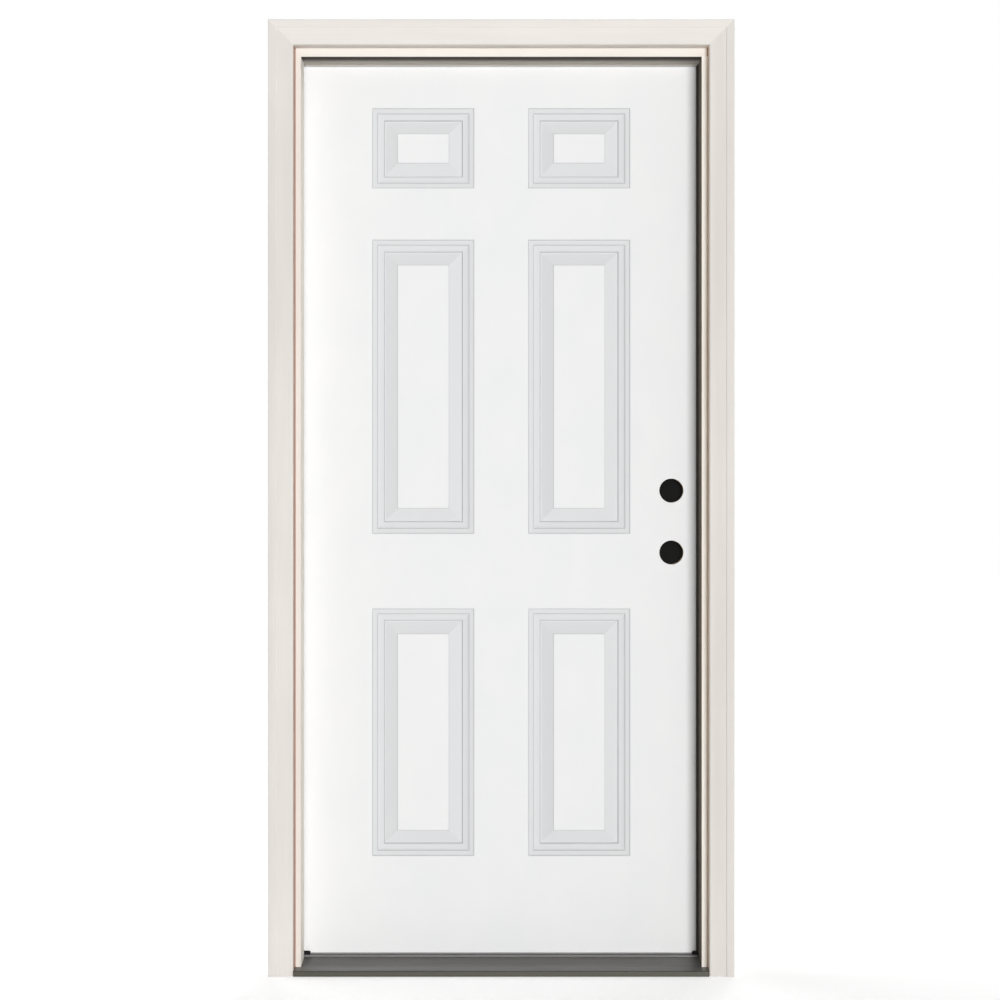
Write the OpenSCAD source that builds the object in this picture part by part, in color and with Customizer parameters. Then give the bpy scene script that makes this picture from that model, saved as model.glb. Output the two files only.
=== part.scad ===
// Six-panel steel entry door, hung in a timber frame with brickmould casing and a low metal sill.
// X runs to the right seen from outside, Y runs inwards and Z up. The origin is on the floor, in the
// middle of the sill, level with the outer edge of the jambs. The leaf opens inwards on the left.

/* [Door leaf] */
// Width of the leaf
leaf_w = 908; // [800:1:1060]
// Height of the leaf
leaf_h = 2013; // [1960:1:2150]
// Thickness of the leaf
leaf_t = 44.5; // [42:0.5:52]
// Height of the leaf's lower edge above the floor
leaf_lift = 28.5; // [26:0.5:36]
// Gap between the leaf and the frame at both sides and at the head
leaf_gap = 3; // [2.5:0.5:4]
// Gauge of the steel skins
sheet_t = 0.7; // [0.5:0.1:1]
// Width of the hem that each skin folds round the edge stiles
hem_w = 9; // [6:0.5:9.5]
// Width of the timber edge stiles
stile_w = 38; // [30:1:42]
// Height of the timber rails at the top and the bottom of the leaf
rail_h = 38; // [28:1:60]
// Glue line round the foam core
glue_t = 0.1; // [0.05:0.05:0.3]

/* [Panels] */
// Width of each embossed panel
panel_w = 230; // [190:1:250]
// Width of the flat mullion between the two columns of panels
mullion_w = 122; // [90:1:140]
// Height of the flat face above the upper panels
top_flat = 108.5; // [90:0.5:140]
// Height of the upper panels
upper_h = 180.5; // [150:0.5:220]
// Height of the flat face under the upper panels
frieze_flat = 116; // [80:0.5:140]
// Height of the middle panels
middle_h = 663.5; // [560:0.5:700]
// Height of the flat face at the lock
lock_flat = 169; // [120:0.5:200]
// Height of the lower panels
lower_h = 558; // [460:0.5:600]

/* [Panel moulding] */
// Width of the flat bead at the panel's edge
bead_w = 11; // [8:0.5:14]
// Depth of the bead below the face
bead_d = 2.8; // [2:0.1:3.4]
// Width of the cove inside the bead
cove_w = 15; // [11:0.5:17]
// Depth that the cove adds to the bead
cove_d = 4.2; // [3:0.1:5]
// Width of the quirk between the bead and the cove
quirk_w = 0.6; // [0.3:0.1:1]
// Depth of that quirk
quirk_d = 0.8; // [0.4:0.1:1.2]
// Width of the groove at the foot of the bevel
groove_w = 3.5; // [2.5:0.5:5]
// Depth of that groove below the face
groove_d = 10.5; // [9.5:0.5:12.5]
// Width of the bevel that rises to the field
bevel_w = 27; // [20:1:28]
// Depth of the raised field below the face
field_d = 1; // [0.5:0.5:2]
// Height of the small step between the bevel and the field
step_d = 1.4; // [0.8:0.1:2]

/* [Lock preparation] */
// Distance from the lock edge of the leaf to the axis of the cross bores
backset = 70; // [66:0.5:74]
// Diameter of the cross bores
cross_bore_d = 54; // [50:0.5:57]
// Height of the latch bore above the lower edge of the leaf
latch_h = 902; // [860:1:960]
// Distance from the latch bore up to the deadbolt bore
bolt_rise = 139.7; // [120:0.1:150]
// Diameter of the bores in the leaf's edge and in the lock jamb
edge_bore_d = 25.4; // [22:0.1:26]
// Width of the mortise for a latch face
face_w = 25.4; // [24:0.1:29]
// Length of the mortise for a latch face
face_l = 57.2; // [50:0.1:64]
// Depth of the mortise for a latch face
face_t = 3; // [2:0.5:4]
// Width of the mortise for a strike
strike_w = 28.6; // [26:0.1:34]
// Length of the mortise for a strike
strike_l = 70; // [57:0.5:76]
// Depth of the mortise for a strike
strike_t = 2; // [1.5:0.5:3]
// Corner radius of these mortises
mortise_r = 6.4; // [4:0.1:8]
// Width of the timber block behind the bores
block_w = 88; // [80:1:96]
// Height of that block
block_h = 356; // [300:1:420]

/* [Frame] */
// Depth of the jambs from the outside to the inside
jamb_depth = 116; // [108:1:140]
// Thickness of the jambs behind the leaf's edge
jamb_t = 19; // [18:0.5:26]
// Height of the stop that the leaf closes on
stop_h = 12.7; // [11:0.1:16]
// Room between the stop and the outer face of the leaf
seal_gap = 8; // [6:0.5:10]
// Width of the kerf that holds the weatherstrip
kerf_w = 3; // [2.6:0.2:4]
// Depth of that kerf
kerf_d = 11; // [8:0.5:14]
// Eased edge of the timber
ease = 1; // [0.5:0.1:2]
// Thickness left on the side jambs where the head is housed
housing_t = 12.7; // [10:0.1:15]
// Reach of the weatherstrip past the stop at the lock side and the head
strip_lip = 5; // [3:0.5:6]
// Setback of the hinge side's weatherstrip behind the edge of the stop
strip_setback = 1; // [0.5:0.5:2]
// Clearance of the soft seals
seal_clear = 0.3; // [0.2:0.05:0.4]

/* [Brickmould] */
// Width of the casing
mould_w = 55; // [48:1:70]
// Thickness of the casing at its outer edge
mould_t = 32; // [28:0.5:38]
// Thickness of the casing at its inner bead
mould_inner_t = 28; // [24:0.5:28]
// Width of the flat fillet at the outer edge
fillet_w = 17; // [12:0.5:22]
// Radius of the inner bead
bead_r = 4; // [3:0.5:6]
// Jamb edge left showing beside the casing
side_reveal = 14; // [8:0.5:20]
// Jamb edge left showing under the head casing
head_reveal = 20; // [8:0.5:24]

/* [Sill] */
// Height of the nose at its outer edge
nose_h = 12; // [9:0.5:14]
// Reach of the nose in front of the jambs
nose_reach = 32; // [24:0.5:36]
// Height of the deck at the outer edge of the jambs
deck_low = 13.4; // [12:0.2:15]
// Height of the deck where it meets the cap
deck_high = 19.5; // [17:0.5:20.5]
// Wall of the metal deck
deck_wall = 2; // [1.5:0.1:2.5]
// Height of the sill's substrate under the cap
substrate_h = 8; // [7.5:0.5:10]
// Height of the upstand in front of the cap
dam_h = 21.5; // [20.6:0.1:22]
// Height of the lip at the inside of the sill
lip_h = 18; // [15:0.5:20]
// Spacing of the grip grooves in the deck
groove_pitch = 6; // [5:0.5:9]
// Number of grip grooves
groove_n = 9; // [4:1:9]
// Width of a grip groove
grip_w = 1.6; // [1:0.1:2.4]
// Depth of a grip groove
grip_d = 0.6; // [0.3:0.1:0.9]
// Height of the sweep under the leaf
sweep_h = 4.5; // [4:0.1:5]
// Thickness of the sweep's base and legs
sweep_t = 2; // [1.6:0.1:2.4]
// Height of the sweep's legs in their kerfs
sweep_leg = 8; // [6:0.5:12]
// Number of fins on the sweep
fin_n = 4; // [2:1:5]
// Thickness of the sweep's fins
fin_t = 1.6; // [1.2:0.1:2]
// Width of a corner pad beside the stop
pad_w = 14; // [10:1:18]
// Height of a corner pad
pad_h = 8; // [6:0.5:10]
// Clearance of the sill at the jambs and the casing
sill_clear = 0.2; // [0.1:0.05:0.4]
// Rounding of the cap's upper edges
cap_r = 2; // [1:0.5:3]

/* [Hinges] */
// Length of a hinge
hinge_l = 101.6; // [90:0.2:115]
// Reach of a hinge leaf from the pin's axis
hinge_reach = 50.8; // [48:0.2:52]
// Thickness of a hinge leaf
hinge_t = 2.6; // [2.2:0.1:2.7]
// Corner radius of a hinge leaf
hinge_r = 15.9; // [6:0.1:18]
// Distance from the leaf's inner face to the pin's axis
pin_offset = 12.7; // [10:0.1:14]
// Outer diameter of the knuckles
knuckle_d = 14; // [12.8:0.2:16]
// Diameter of the pin
pin_d = 7; // [6:0.1:7.6]
// Diameter of the pin's head
pin_head_d = 11; // [10:0.5:12]
// Height of the pin's head
pin_head_h = 3; // [2:0.5:4]
// Radial clearance of the pin
pin_clear = 0.06; // [0.03:0.01:0.1]
// Gap between neighbouring knuckles
knuckle_gap = 0.4; // [0.3:0.1:0.8]
// Distance from the top of the leaf to the top hinge
top_setdown = 178; // [150:1:220]
// Distance from the foot of the leaf to the bottom hinge
bottom_setup = 279; // [220:1:320]
// Clearance of the hinge leaves in their mortises
mortise_clear = 0.15; // [0.1:0.05:0.3]

/* [Screws] */
// Diameter of a screw's shank
screw_d = 4.4; // [3.6:0.1:5]
// Diameter of a countersunk head
screw_head_d = 8.4; // [7.6:0.1:9]
// Distance from the free edge of a hinge leaf to its middle screws
screw_margin = 13; // [11:0.5:15]
// Distance from the leaf's inner face to the outer screws of a hinge
screw_inset = 9.5; // [8:0.5:12]
// Timber left under the heads of the sill screws
screw_bed = 0.8; // [0.5:0.1:1.2]
// Length of the hinge screws in the jamb
jamb_screw_l = 18; // [14:0.5:20]
// Length of the hinge screws in the leaf
leaf_screw_l = 25; // [18:0.5:30]
// Length of the screws at the head and sill joints
joint_screw_l = 52; // [40:1:64]
// Clearance of the screws in their holes
screw_clear = 0.05; // [0.03:0.01:0.1]

/* [Hidden] */
$fn = 48;
past = 2;

// Planes of the leaf
face_y = jamb_depth - leaf_t;
back_y = jamb_depth;
mid_y = (face_y + back_y) / 2;
edge_x = leaf_w / 2;
foot_z = leaf_lift;
crown_z = leaf_lift + leaf_h;
body_y = face_y + sheet_t;
body_t = leaf_t - 2 * sheet_t;

// Planes of the frame
stop_y = face_y - seal_gap;
rabbet_x = edge_x + leaf_gap;
stop_x = rabbet_x - stop_h;
back_x = rabbet_x + jamb_t;
rabbet_z = crown_z + leaf_gap;
stop_z = rabbet_z - stop_h;
top_z = rabbet_z + jamb_t;
casing_x = stop_x + side_reveal;
casing_z = stop_z + head_reveal;

// Rows of panels, as their lower edges and heights
upper_z = crown_z - top_flat - upper_h;
middle_z = upper_z - frieze_flat - middle_h;
lower_z = middle_z - lock_flat - lower_h;
rows = [[upper_z, upper_h], [middle_z, middle_h], [lower_z, lower_h]];
column_x = mullion_w / 2 + panel_w / 2;

// Lock bores and block
lock_x = edge_x - backset;
latch_z = foot_z + latch_h;
lock_heights = [latch_z, latch_z + bolt_rise];
block_x = edge_x - stile_w - block_w;
block_z = latch_z + bolt_rise / 2 - block_h / 2;

// Hinges
pin_x = -(edge_x + leaf_gap / 2);
pin_y = back_y + pin_offset;
top_hinge_z = crown_z - top_setdown - hinge_l / 2;
bottom_hinge_z = foot_z + bottom_setup + hinge_l / 2;
middle_hinge_z = (top_hinge_z + bottom_hinge_z) / 2;
hinge_heights = [top_hinge_z, middle_hinge_z, bottom_hinge_z];
knuckle_n = 5;
knuckle_pitch = hinge_l / knuckle_n;
frame_knuckles = [0, 2, 4];
door_knuckles = [1, 3];
screw_edge = hinge_l / 8;
near_row = pin_offset + screw_inset;
far_row = hinge_reach - screw_margin;
screw_rows = [[near_row, hinge_l / 2 - screw_edge], [far_row, screw_edge], [far_row, -screw_edge],
    [near_row, -hinge_l / 2 + screw_edge]];
head_cone_h = (screw_head_d - screw_d) / 2;

// Sill
cap_top = leaf_lift - sweep_h;
dam_y = stop_y + seal_clear;
channel_z = substrate_h + deck_wall;
cap_front = dam_y + deck_wall + sill_clear;
cap_back = jamb_depth - deck_wall - sill_clear;
fin_top = foot_z - sweep_t;
fin_foot = cap_top + seal_clear;
sweep_inset = 1.5;
sweep_legs = [mid_y - body_t / 4, mid_y + body_t / 4];
pad_top = cap_top + seal_clear + pad_h;

// Joint screws, in the middle of the stop and of the rabbet
joint_ys = [stop_y / 2, (stop_y + jamb_depth) / 2];
head_joint_z = top_z - jamb_t / 2;
sill_joint_z = screw_head_d / 2 + screw_bed;

// Points on an arc, in the plane of a profile
function arc(cx, cy, r, from, to, n) =
    [for (i = [0:n]) let (a = from + (to - from) * i / n) [cx + r * cos(a), cy + r * sin(a)]];

// Panel moulding as [distance in from the panel's edge, depth below the face], edge to field
function moulding() =
    let (arris = bead_d * 0.6, cove_x = bead_w + cove_w, foot_x = cove_x + groove_w, n = 6)
    concat([[0, 0], [arris, bead_d * 0.8], [bead_w, bead_d]],
        [for (i = [0:n]) let (a = 90 * i / n)
            [bead_w + quirk_w + (cove_w - quirk_w) * (1 - cos(a)),
             bead_d + quirk_d + (cove_d - quirk_d) * sin(a)]],
        [[cove_x + groove_w * 0.55, groove_d], [foot_x, groove_d],
         [foot_x + bevel_w, field_d + step_d], [foot_x + bevel_w + step_d, field_d]]);

// One panel's relief as nested rectangles, lofted from before the face down to the pressed surface.
// x and y span the panel, z is the depth and shift sets the whole relief deeper.
module panel_relief(w, h, shift, lead) {
    rings = concat([[0, -lead]], moulding());
    n = len(rings);
    points = [for (r = rings) let (x = w / 2 - r[0], y = h / 2 - r[0], z = r[1] + shift)
        each [[-x, -y, z], [x, -y, z], [x, y, z], [-x, y, z]]];
    sides = [for (i = [0:n - 2], k = [0:3]) let (j = (k + 1) % 4)
        [4 * i + k, 4 * (i + 1) + k, 4 * (i + 1) + j, 4 * i + j]];
    last = 4 * (n - 1);
    polyhedron(points, concat([[0, 1, 2, 3]], sides, [[last + 3, last + 2, last + 1, last]]));
}

// The six reliefs of the outer face
module face_reliefs(shift, lead) {
    for (row = rows, side = [-1, 1])
        translate([side * column_x, face_y, row[0] + row[1] / 2])
            rotate([-90, 0, 0]) panel_relief(panel_w, row[1], shift, lead);
}

// What is made for the outer face, repeated on the inner face
module on_inner_face() {
    translate([0, 2 * mid_y, 0]) mirror([0, 1, 0]) children();
}

module rounded_rect(w, l, r) {
    square([w - 2 * r, l], center = true);
    square([w, l - 2 * r], center = true);
    for (x = [-1, 1], y = [-1, 1]) translate([x * (w / 2 - r), y * (l / 2 - r)]) circle(r);
}

// Cross bores, edge bores and latch mortises of the leaf
module lock_cuts() {
    for (z = lock_heights) {
        translate([lock_x, face_y - past, z]) rotate([-90, 0, 0])
            cylinder(d = cross_bore_d, h = leaf_t + 2 * past);
        translate([lock_x, mid_y, z]) rotate([0, 90, 0])
            cylinder(d = edge_bore_d, h = backset + past);
        translate([edge_x - face_t, mid_y, z]) rotate([90, 0, 90])
            linear_extrude(face_t + past) rounded_rect(face_w, face_l, mortise_r);
    }
}

// Outline of a hinge leaf's plate, x away from the pin and y along it
module hinge_outline(grow) {
    r = hinge_r + grow;
    reach = hinge_reach + grow;
    l = hinge_l + 2 * grow;
    start = knuckle_d / 2 + knuckle_gap;
    translate([start, -l / 2]) square([reach - r - start, l]);
    translate([start, -l / 2 + r]) square([reach - start, l - 2 * r]);
    for (s = [-1, 1]) translate([reach - r, s * (l / 2 - r)]) circle(r);
}

// A plate of the hinge, set in the face of the jamb (side -1) or in the edge of the leaf (side 1)
module hinge_plate(side, grow, extra) {
    far_x = side > 0 ? leaf_gap / 2 + hinge_t : -leaf_gap / 2 + extra;
    translate([far_x, 0, 0]) rotate([90, 0, -90]) linear_extrude(hinge_t + extra) hinge_outline(grow);
}

// Places what follows at the four screws of a hinge plate, pointing into the timber
module at_hinge_screws(side) {
    for (s = screw_rows) translate([side * leaf_gap / 2, -s[0], s[1]])
        rotate([0, side * 90, 0]) children();
}

// Mortises and screw holes for the three hinges
module hinge_cuts(side, screw_l) {
    for (z = hinge_heights) translate([pin_x, pin_y, z]) {
        hinge_plate(side, mortise_clear, past);
        at_hinge_screws(side) cylinder(d = screw_d + 2 * screw_clear, h = screw_l + screw_clear);
    }
}

// Outer form of a countersunk screw, head at the origin and point up
module screw_form(l, grow) {
    cylinder(d1 = screw_head_d + 2 * grow, d2 = screw_d + 2 * grow, h = head_cone_h);
    cylinder(d = screw_d + 2 * grow, h = l + grow);
}

module wood_screw(l) {
    recess = screw_head_d / 2;
    difference() {
        screw_form(l, 0);
        for (a = [0, 90]) rotate(a) translate([-recess / 2, -recess / 8, -past])
            cube([recess, recess / 4, head_cone_h / 2 + past]);
    }
}

// One leaf of a butt hinge: plate and knuckles, bored for the pin and the screws
module hinge_leaf(side, knuckles, z) {
    barrel_l = knuckle_pitch - knuckle_gap;
    web_x = side > 0 ? leaf_gap / 2 : -leaf_gap / 2 - hinge_t;
    color("silver") translate([pin_x, pin_y, z]) difference() {
        union() {
            hinge_plate(side, 0, 0);
            for (k = knuckles) translate([0, 0, -hinge_l / 2 + k * knuckle_pitch + knuckle_gap / 2]) {
                cylinder(d = knuckle_d, h = barrel_l);
                translate([web_x, -knuckle_d, 0]) cube([hinge_t, knuckle_d, barrel_l]);
            }
        }
        translate([0, 0, -hinge_l]) cylinder(d = pin_d + 2 * pin_clear, h = 2 * hinge_l);
        at_hinge_screws(side) screw_form(hinge_t + past, screw_clear);
    }
}

// A loose pin with a button head over the top knuckle
module hinge_pin(z) {
    r = pin_d / 2;
    head_r = pin_head_d / 2;
    end = hinge_l / 2;
    color("silver") translate([pin_x, pin_y, z]) rotate_extrude()
        polygon([[0, -end - r], [r / 2, -end - r], [r, -end - r / 2], [r, end], [head_r, end],
            [head_r, end + pin_head_h / 2], [head_r * 0.6, end + pin_head_h], [0, end + pin_head_h]]);
}

// The hems that the outer skin folds round the two edge stiles
module hems() {
    for (s = [-1, 1]) translate([s > 0 ? edge_x - sheet_t : -edge_x, face_y, foot_z])
        cube([sheet_t, hem_w, leaf_h]);
}

// A pressed skin as it lies on the outer face, before it is bored
module pressed_sheet() {
    difference() {
        union() {
            translate([-edge_x, face_y, foot_z]) cube([leaf_w, sheet_t, leaf_h]);
            hems();
            face_reliefs(sheet_t, sheet_t / 2);
        }
        face_reliefs(0, past);
    }
}

module exterior_skin() {
    color("white") difference() {
        pressed_sheet();
        lock_cuts();
        hinge_cuts(1, leaf_screw_l);
    }
}

module interior_skin() {
    color("white") difference() {
        on_inner_face() pressed_sheet();
        lock_cuts();
        hinge_cuts(1, leaf_screw_l);
    }
}

// Two kerfs along the foot of the leaf for the legs of the sweep
module sweep_kerfs() {
    w = sweep_t + 2 * seal_clear;
    for (y = sweep_legs) translate([-edge_x - past, y - w / 2, foot_z - past])
        cube([leaf_w + 2 * past, w, sweep_leg + seal_clear + past]);
}

// A timber edge stile, rebated for the hems of both skins
module edge_stile(side) {
    difference() {
        translate([side > 0 ? edge_x - stile_w : -edge_x, body_y, foot_z])
            cube([stile_w, body_t, leaf_h]);
        hems();
        on_inner_face() hems();
        sweep_kerfs();
    }
}

module hinge_stile() {
    color("burlywood") difference() {
        edge_stile(-1);
        hinge_cuts(1, leaf_screw_l);
    }
}

module lock_stile() {
    color("burlywood") difference() {
        edge_stile(1);
        lock_cuts();
    }
}

// A rail between the edge stiles
module cross_rail(z) {
    translate([-edge_x + stile_w, body_y, z]) cube([leaf_w - 2 * stile_w, body_t, rail_h]);
}

module top_rail() {
    color("burlywood") cross_rail(crown_z - rail_h);
}

module bottom_rail() {
    color("burlywood") difference() {
        cross_rail(foot_z);
        sweep_kerfs();
    }
}

// The block that the lock bores go through, grown on all sides but at the stile
module block_form(grow) {
    translate([block_x - grow, body_y, block_z - grow])
        cube([block_w + grow, body_t, block_h + 2 * grow]);
}

module both_reliefs(shift) {
    face_reliefs(shift, past);
    on_inner_face() face_reliefs(shift, past);
}

module lock_block() {
    color("burlywood") difference() {
        block_form(0);
        both_reliefs(sheet_t + glue_t);
        lock_cuts();
    }
}

// Foam between the stiles, rails and skins, pressed in behind every panel
module foam_core() {
    color("khaki") difference() {
        translate([-edge_x + stile_w + glue_t, body_y + glue_t, foot_z + rail_h + glue_t])
            cube([leaf_w - 2 * (stile_w + glue_t), body_t - 2 * glue_t, leaf_h - 2 * (rail_h + glue_t)]);
        both_reliefs(sheet_t + glue_t);
        block_form(glue_t);
    }
}

// Vinyl sweep: a base under the leaf, two legs in the kerfs and fins down to the cap
module door_sweep() {
    base_y = face_y + sweep_inset;
    base_w = leaf_t - 2 * sweep_inset;
    color("dimgray") translate([-edge_x + leaf_gap, 0, 0]) rotate([90, 0, 90])
        linear_extrude(leaf_w - 2 * leaf_gap) {
            translate([base_y, fin_top]) square([base_w, sweep_t]);
            for (y = sweep_legs) translate([y - sweep_t / 2, fin_top])
                square([sweep_t, sweep_t + sweep_leg]);
            for (i = [0:fin_n - 1]) translate([base_y + (base_w - 2 * fin_t) * i / (fin_n - 1), 0])
                polygon([[fin_t, fin_foot], [fin_t * 1.6, fin_foot], [fin_t, fin_top + sweep_t / 2],
                    [0, fin_top + sweep_t / 2]]);
        }
}

// Section of a jamb, x from its back towards the doorway and y inwards
module jamb_section(kerf) {
    face = jamb_t + stop_h;
    difference() {
        polygon([[0, 0], [face - ease, 0], [face, ease], [face, stop_y - ease], [face - ease, stop_y],
            [jamb_t, stop_y], [jamb_t, jamb_depth - ease], [jamb_t - ease, jamb_depth], [0, jamb_depth]]);
        if (kerf) translate([jamb_t, stop_y - kerf_d]) square([kerf_w, kerf_d + past]);
    }
}

// The head as a stick, housed in the side jambs at both ends
module head_stick(kerf) {
    l = 2 * (back_x - housing_t);
    translate([-l / 2, 0, top_z]) rotate([0, 90, 0]) linear_extrude(l) jamb_section(kerf);
}

// Places what follows at the joint screws of the lock side, pointing into the frame
module at_joint_screws(z) {
    for (y = joint_ys) translate([back_x, y, z]) rotate([0, -90, 0]) children();
}

// A side jamb as it stands at the lock side
module side_jamb() {
    difference() {
        translate([back_x, 0, 0]) mirror([1, 0, 0]) linear_extrude(top_z) jamb_section(true);
        head_stick(false);
        for (z = [head_joint_z, sill_joint_z]) at_joint_screws(z) screw_form(joint_screw_l, screw_clear);
    }
}

module at_hinge_side() {
    mirror([1, 0, 0]) children();
}

module hinge_jamb() {
    color("ivory") difference() {
        at_hinge_side() side_jamb();
        hinge_cuts(-1, jamb_screw_l);
    }
}

module strike_jamb() {
    color("ivory") difference() {
        side_jamb();
        for (z = lock_heights) translate([rabbet_x - past, mid_y, z]) {
            rotate([90, 0, 90]) linear_extrude(strike_t + past)
                rounded_rect(strike_w, strike_l, mortise_r);
            rotate([0, 90, 0]) cylinder(d = edge_bore_d, h = jamb_t + 2 * past);
        }
    }
}

module head_jamb() {
    color("ivory") difference() {
        head_stick(true);
        for (s = [0, 1]) mirror([s, 0, 0])
            at_joint_screws(head_joint_z) screw_form(joint_screw_l, screw_clear);
    }
}

// Everything on the side's part of a mitre at the upper right corner x, z
module side_of_mitre(x, z, reach) {
    intersection() {
        children();
        translate([0, jamb_depth, 0]) rotate([90, 0, 0]) linear_extrude(jamb_depth + mould_t + past)
            polygon([[x - reach, z - reach], [x + reach, z + reach], [x + reach, -past],
                [x - reach, -past]]);
    }
}

// Everything on the head's part of the mitres at both upper corners
module head_of_mitre(x, z, reach) {
    intersection() {
        children();
        translate([0, jamb_depth, 0]) rotate([90, 0, 0]) linear_extrude(jamb_depth + mould_t + past)
            polygon([[-x - reach, z + reach], [x + reach, z + reach], [x - reach, z - reach],
                [-x + reach, z - reach]]);
    }
}

// Section of the casing: inner bead, a shallow ogee and a raised fillet at the outer edge
module mould_section() {
    n = 8;
    quirk = ease * 1.6;
    ogee_w = mould_w - fillet_w - bead_r - ease;
    ogee_d = mould_t - quirk - mould_inner_t;
    mirror([0, 1]) polygon(concat([[0, 0]],
        arc(bead_r, mould_inner_t - bead_r, bead_r, 180, 90, 5),
        [for (i = [1:n]) [bead_r + ogee_w * i / n, mould_inner_t + ogee_d * (1 - cos(180 * i / n)) / 2]],
        [[mould_w - fillet_w, mould_t], [mould_w - ease, mould_t], [mould_w, mould_t - ease],
         [mould_w, 0]]));
}

// A side casing as it stands at the lock side
module side_mould() {
    side_of_mitre(casing_x, casing_z, mould_w + past)
        translate([casing_x, 0, 0]) linear_extrude(casing_z + mould_w + past) mould_section();
}

module strike_brickmould() {
    color("linen") side_mould();
}

module hinge_brickmould() {
    color("linen") at_hinge_side() side_mould();
}

module head_brickmould() {
    l = 2 * (casing_x + mould_w + past);
    color("linen") head_of_mitre(casing_x, casing_z, mould_w + past)
        translate([l / 2, 0, casing_z]) rotate([0, -90, 0]) linear_extrude(l) mould_section();
}

// Bulb of a weatherstrip in the section of a jamb, rounded towards the doorway
module bulb_section(lip) {
    r = seal_gap / 2 - seal_clear;
    y = stop_y + seal_gap / 2;
    polygon(concat([[jamb_t + seal_clear, y + r], [jamb_t + seal_clear, y - r]],
        arc(jamb_t + stop_h + lip - r, y, r, -90, 90, 8)));
}

// Leg of a weatherstrip in its kerf
module leg_section() {
    translate([jamb_t + seal_clear, stop_y - kerf_d + seal_clear])
        square([kerf_w - 2 * seal_clear, kerf_d + seal_gap / 2]);
}

// A side weatherstrip as it stands at the lock side
module side_strip(lip) {
    foot = pad_top + seal_clear;
    side_of_mitre(rabbet_x, rabbet_z - seal_clear, stop_h + jamb_t) translate([back_x, 0, foot])
        mirror([1, 0, 0]) linear_extrude(rabbet_z - foot) bulb_section(lip);
    translate([back_x, 0, foot]) mirror([1, 0, 0])
        linear_extrude(stop_z - seal_clear - foot) leg_section();
}

module strike_weatherstrip() {
    color("dimgray") side_strip(strip_lip);
}

module hinge_weatherstrip() {
    color("dimgray") at_hinge_side() side_strip(-strip_setback);
}

module head_weatherstrip() {
    l = 2 * rabbet_x;
    color("dimgray") head_of_mitre(rabbet_x, rabbet_z, stop_h + jamb_t)
        translate([-l / 2, 0, top_z]) rotate([0, 90, 0]) linear_extrude(l) {
            bulb_section(strip_lip);
            leg_section();
        }
}

// A sill piece: its section with x inwards and y up, run across the frame and coped to the jambs
module sill_run() {
    difference() {
        translate([-casing_x + sill_clear, 0, 0]) rotate([90, 0, 90])
            linear_extrude(2 * (casing_x - sill_clear)) children();
        for (s = [0, 1]) mirror([s, 0, 0]) {
            translate([stop_x - sill_clear, -sill_clear, -past])
                cube([casing_x, stop_y + 2 * sill_clear, leaf_lift + past]);
            translate([rabbet_x - sill_clear, 0, -past])
                cube([casing_x, jamb_depth + past, leaf_lift + past]);
        }
    }
}

// Metal deck: nose, sloping tread with grip grooves, upstand, channel for the cap and inner lip
module sill_deck() {
    w = deck_wall;
    slope = atan((deck_high - deck_low) / dam_y);
    color("dimgray") sill_run() difference() {
        polygon([[-nose_reach, 0], [-nose_reach, nose_h - ease], [-nose_reach + ease, nose_h],
            [0, deck_low], [dam_y, deck_high], [dam_y, dam_h], [dam_y + w, dam_h], [dam_y + w, channel_z],
            [jamb_depth - w, channel_z], [jamb_depth - w, lip_h], [jamb_depth, lip_h], [jamb_depth, 0],
            [jamb_depth - w, 0], [jamb_depth - w, substrate_h], [dam_y, substrate_h],
            [dam_y, deck_high - w], [0, deck_low - w], [-nose_reach + w, nose_h - w],
            [-nose_reach + w, 0]]);
        translate([0, deck_low]) rotate(slope) for (i = [1:groove_n])
            translate([i * groove_pitch, -grip_d]) square([grip_w, grip_d + past]);
    }
}

// Substrate that fills the deck from below
module sill_substrate() {
    w = deck_wall + sill_clear;
    color("tan") difference() {
        sill_run() polygon([[-nose_reach + w, 0], [-nose_reach + w, nose_h - w], [0, deck_low - w],
            [dam_y - sill_clear, deck_high - w], [dam_y - sill_clear, substrate_h - sill_clear],
            [jamb_depth - w, substrate_h - sill_clear], [jamb_depth - w, 0]]);
        for (s = [0, 1]) mirror([s, 0, 0])
            at_joint_screws(sill_joint_z) screw_form(joint_screw_l, screw_clear);
    }
}

// Cap in the channel of the deck, rounded along its upper edges
module sill_cap() {
    color("gray") sill_run() polygon(concat([[cap_front, channel_z + sill_clear]],
        arc(cap_front + cap_r, cap_top - cap_r, cap_r, 180, 90, 5),
        arc(cap_back - cap_r, cap_top - cap_r, cap_r, 90, 0, 5), [[cap_back, channel_z + sill_clear]]));
}

// Foam pad that closes the corner between stop, leaf and sill
module corner_pad() {
    color("black") translate([stop_x - pad_w, stop_y + seal_clear, cap_top + seal_clear])
        cube([pad_w + stop_h - seal_clear, seal_gap - 2 * seal_clear, pad_h]);
}

module strike_corner_pad() {
    corner_pad();
}

module hinge_corner_pad() {
    at_hinge_side() corner_pad();
}

module top_door_hinge_leaf() {
    hinge_leaf(1, door_knuckles, top_hinge_z);
}

module middle_door_hinge_leaf() {
    hinge_leaf(1, door_knuckles, middle_hinge_z);
}

module bottom_door_hinge_leaf() {
    hinge_leaf(1, door_knuckles, bottom_hinge_z);
}

module top_frame_hinge_leaf() {
    hinge_leaf(-1, frame_knuckles, top_hinge_z);
}

module middle_frame_hinge_leaf() {
    hinge_leaf(-1, frame_knuckles, middle_hinge_z);
}

module bottom_frame_hinge_leaf() {
    hinge_leaf(-1, frame_knuckles, bottom_hinge_z);
}

module top_hinge_pin() {
    hinge_pin(top_hinge_z);
}

module middle_hinge_pin() {
    hinge_pin(middle_hinge_z);
}

module bottom_hinge_pin() {
    hinge_pin(bottom_hinge_z);
}

module door_hinge_screws() {
    color("silver") for (z = hinge_heights) translate([pin_x, pin_y, z])
        at_hinge_screws(1) wood_screw(leaf_screw_l);
}

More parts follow.
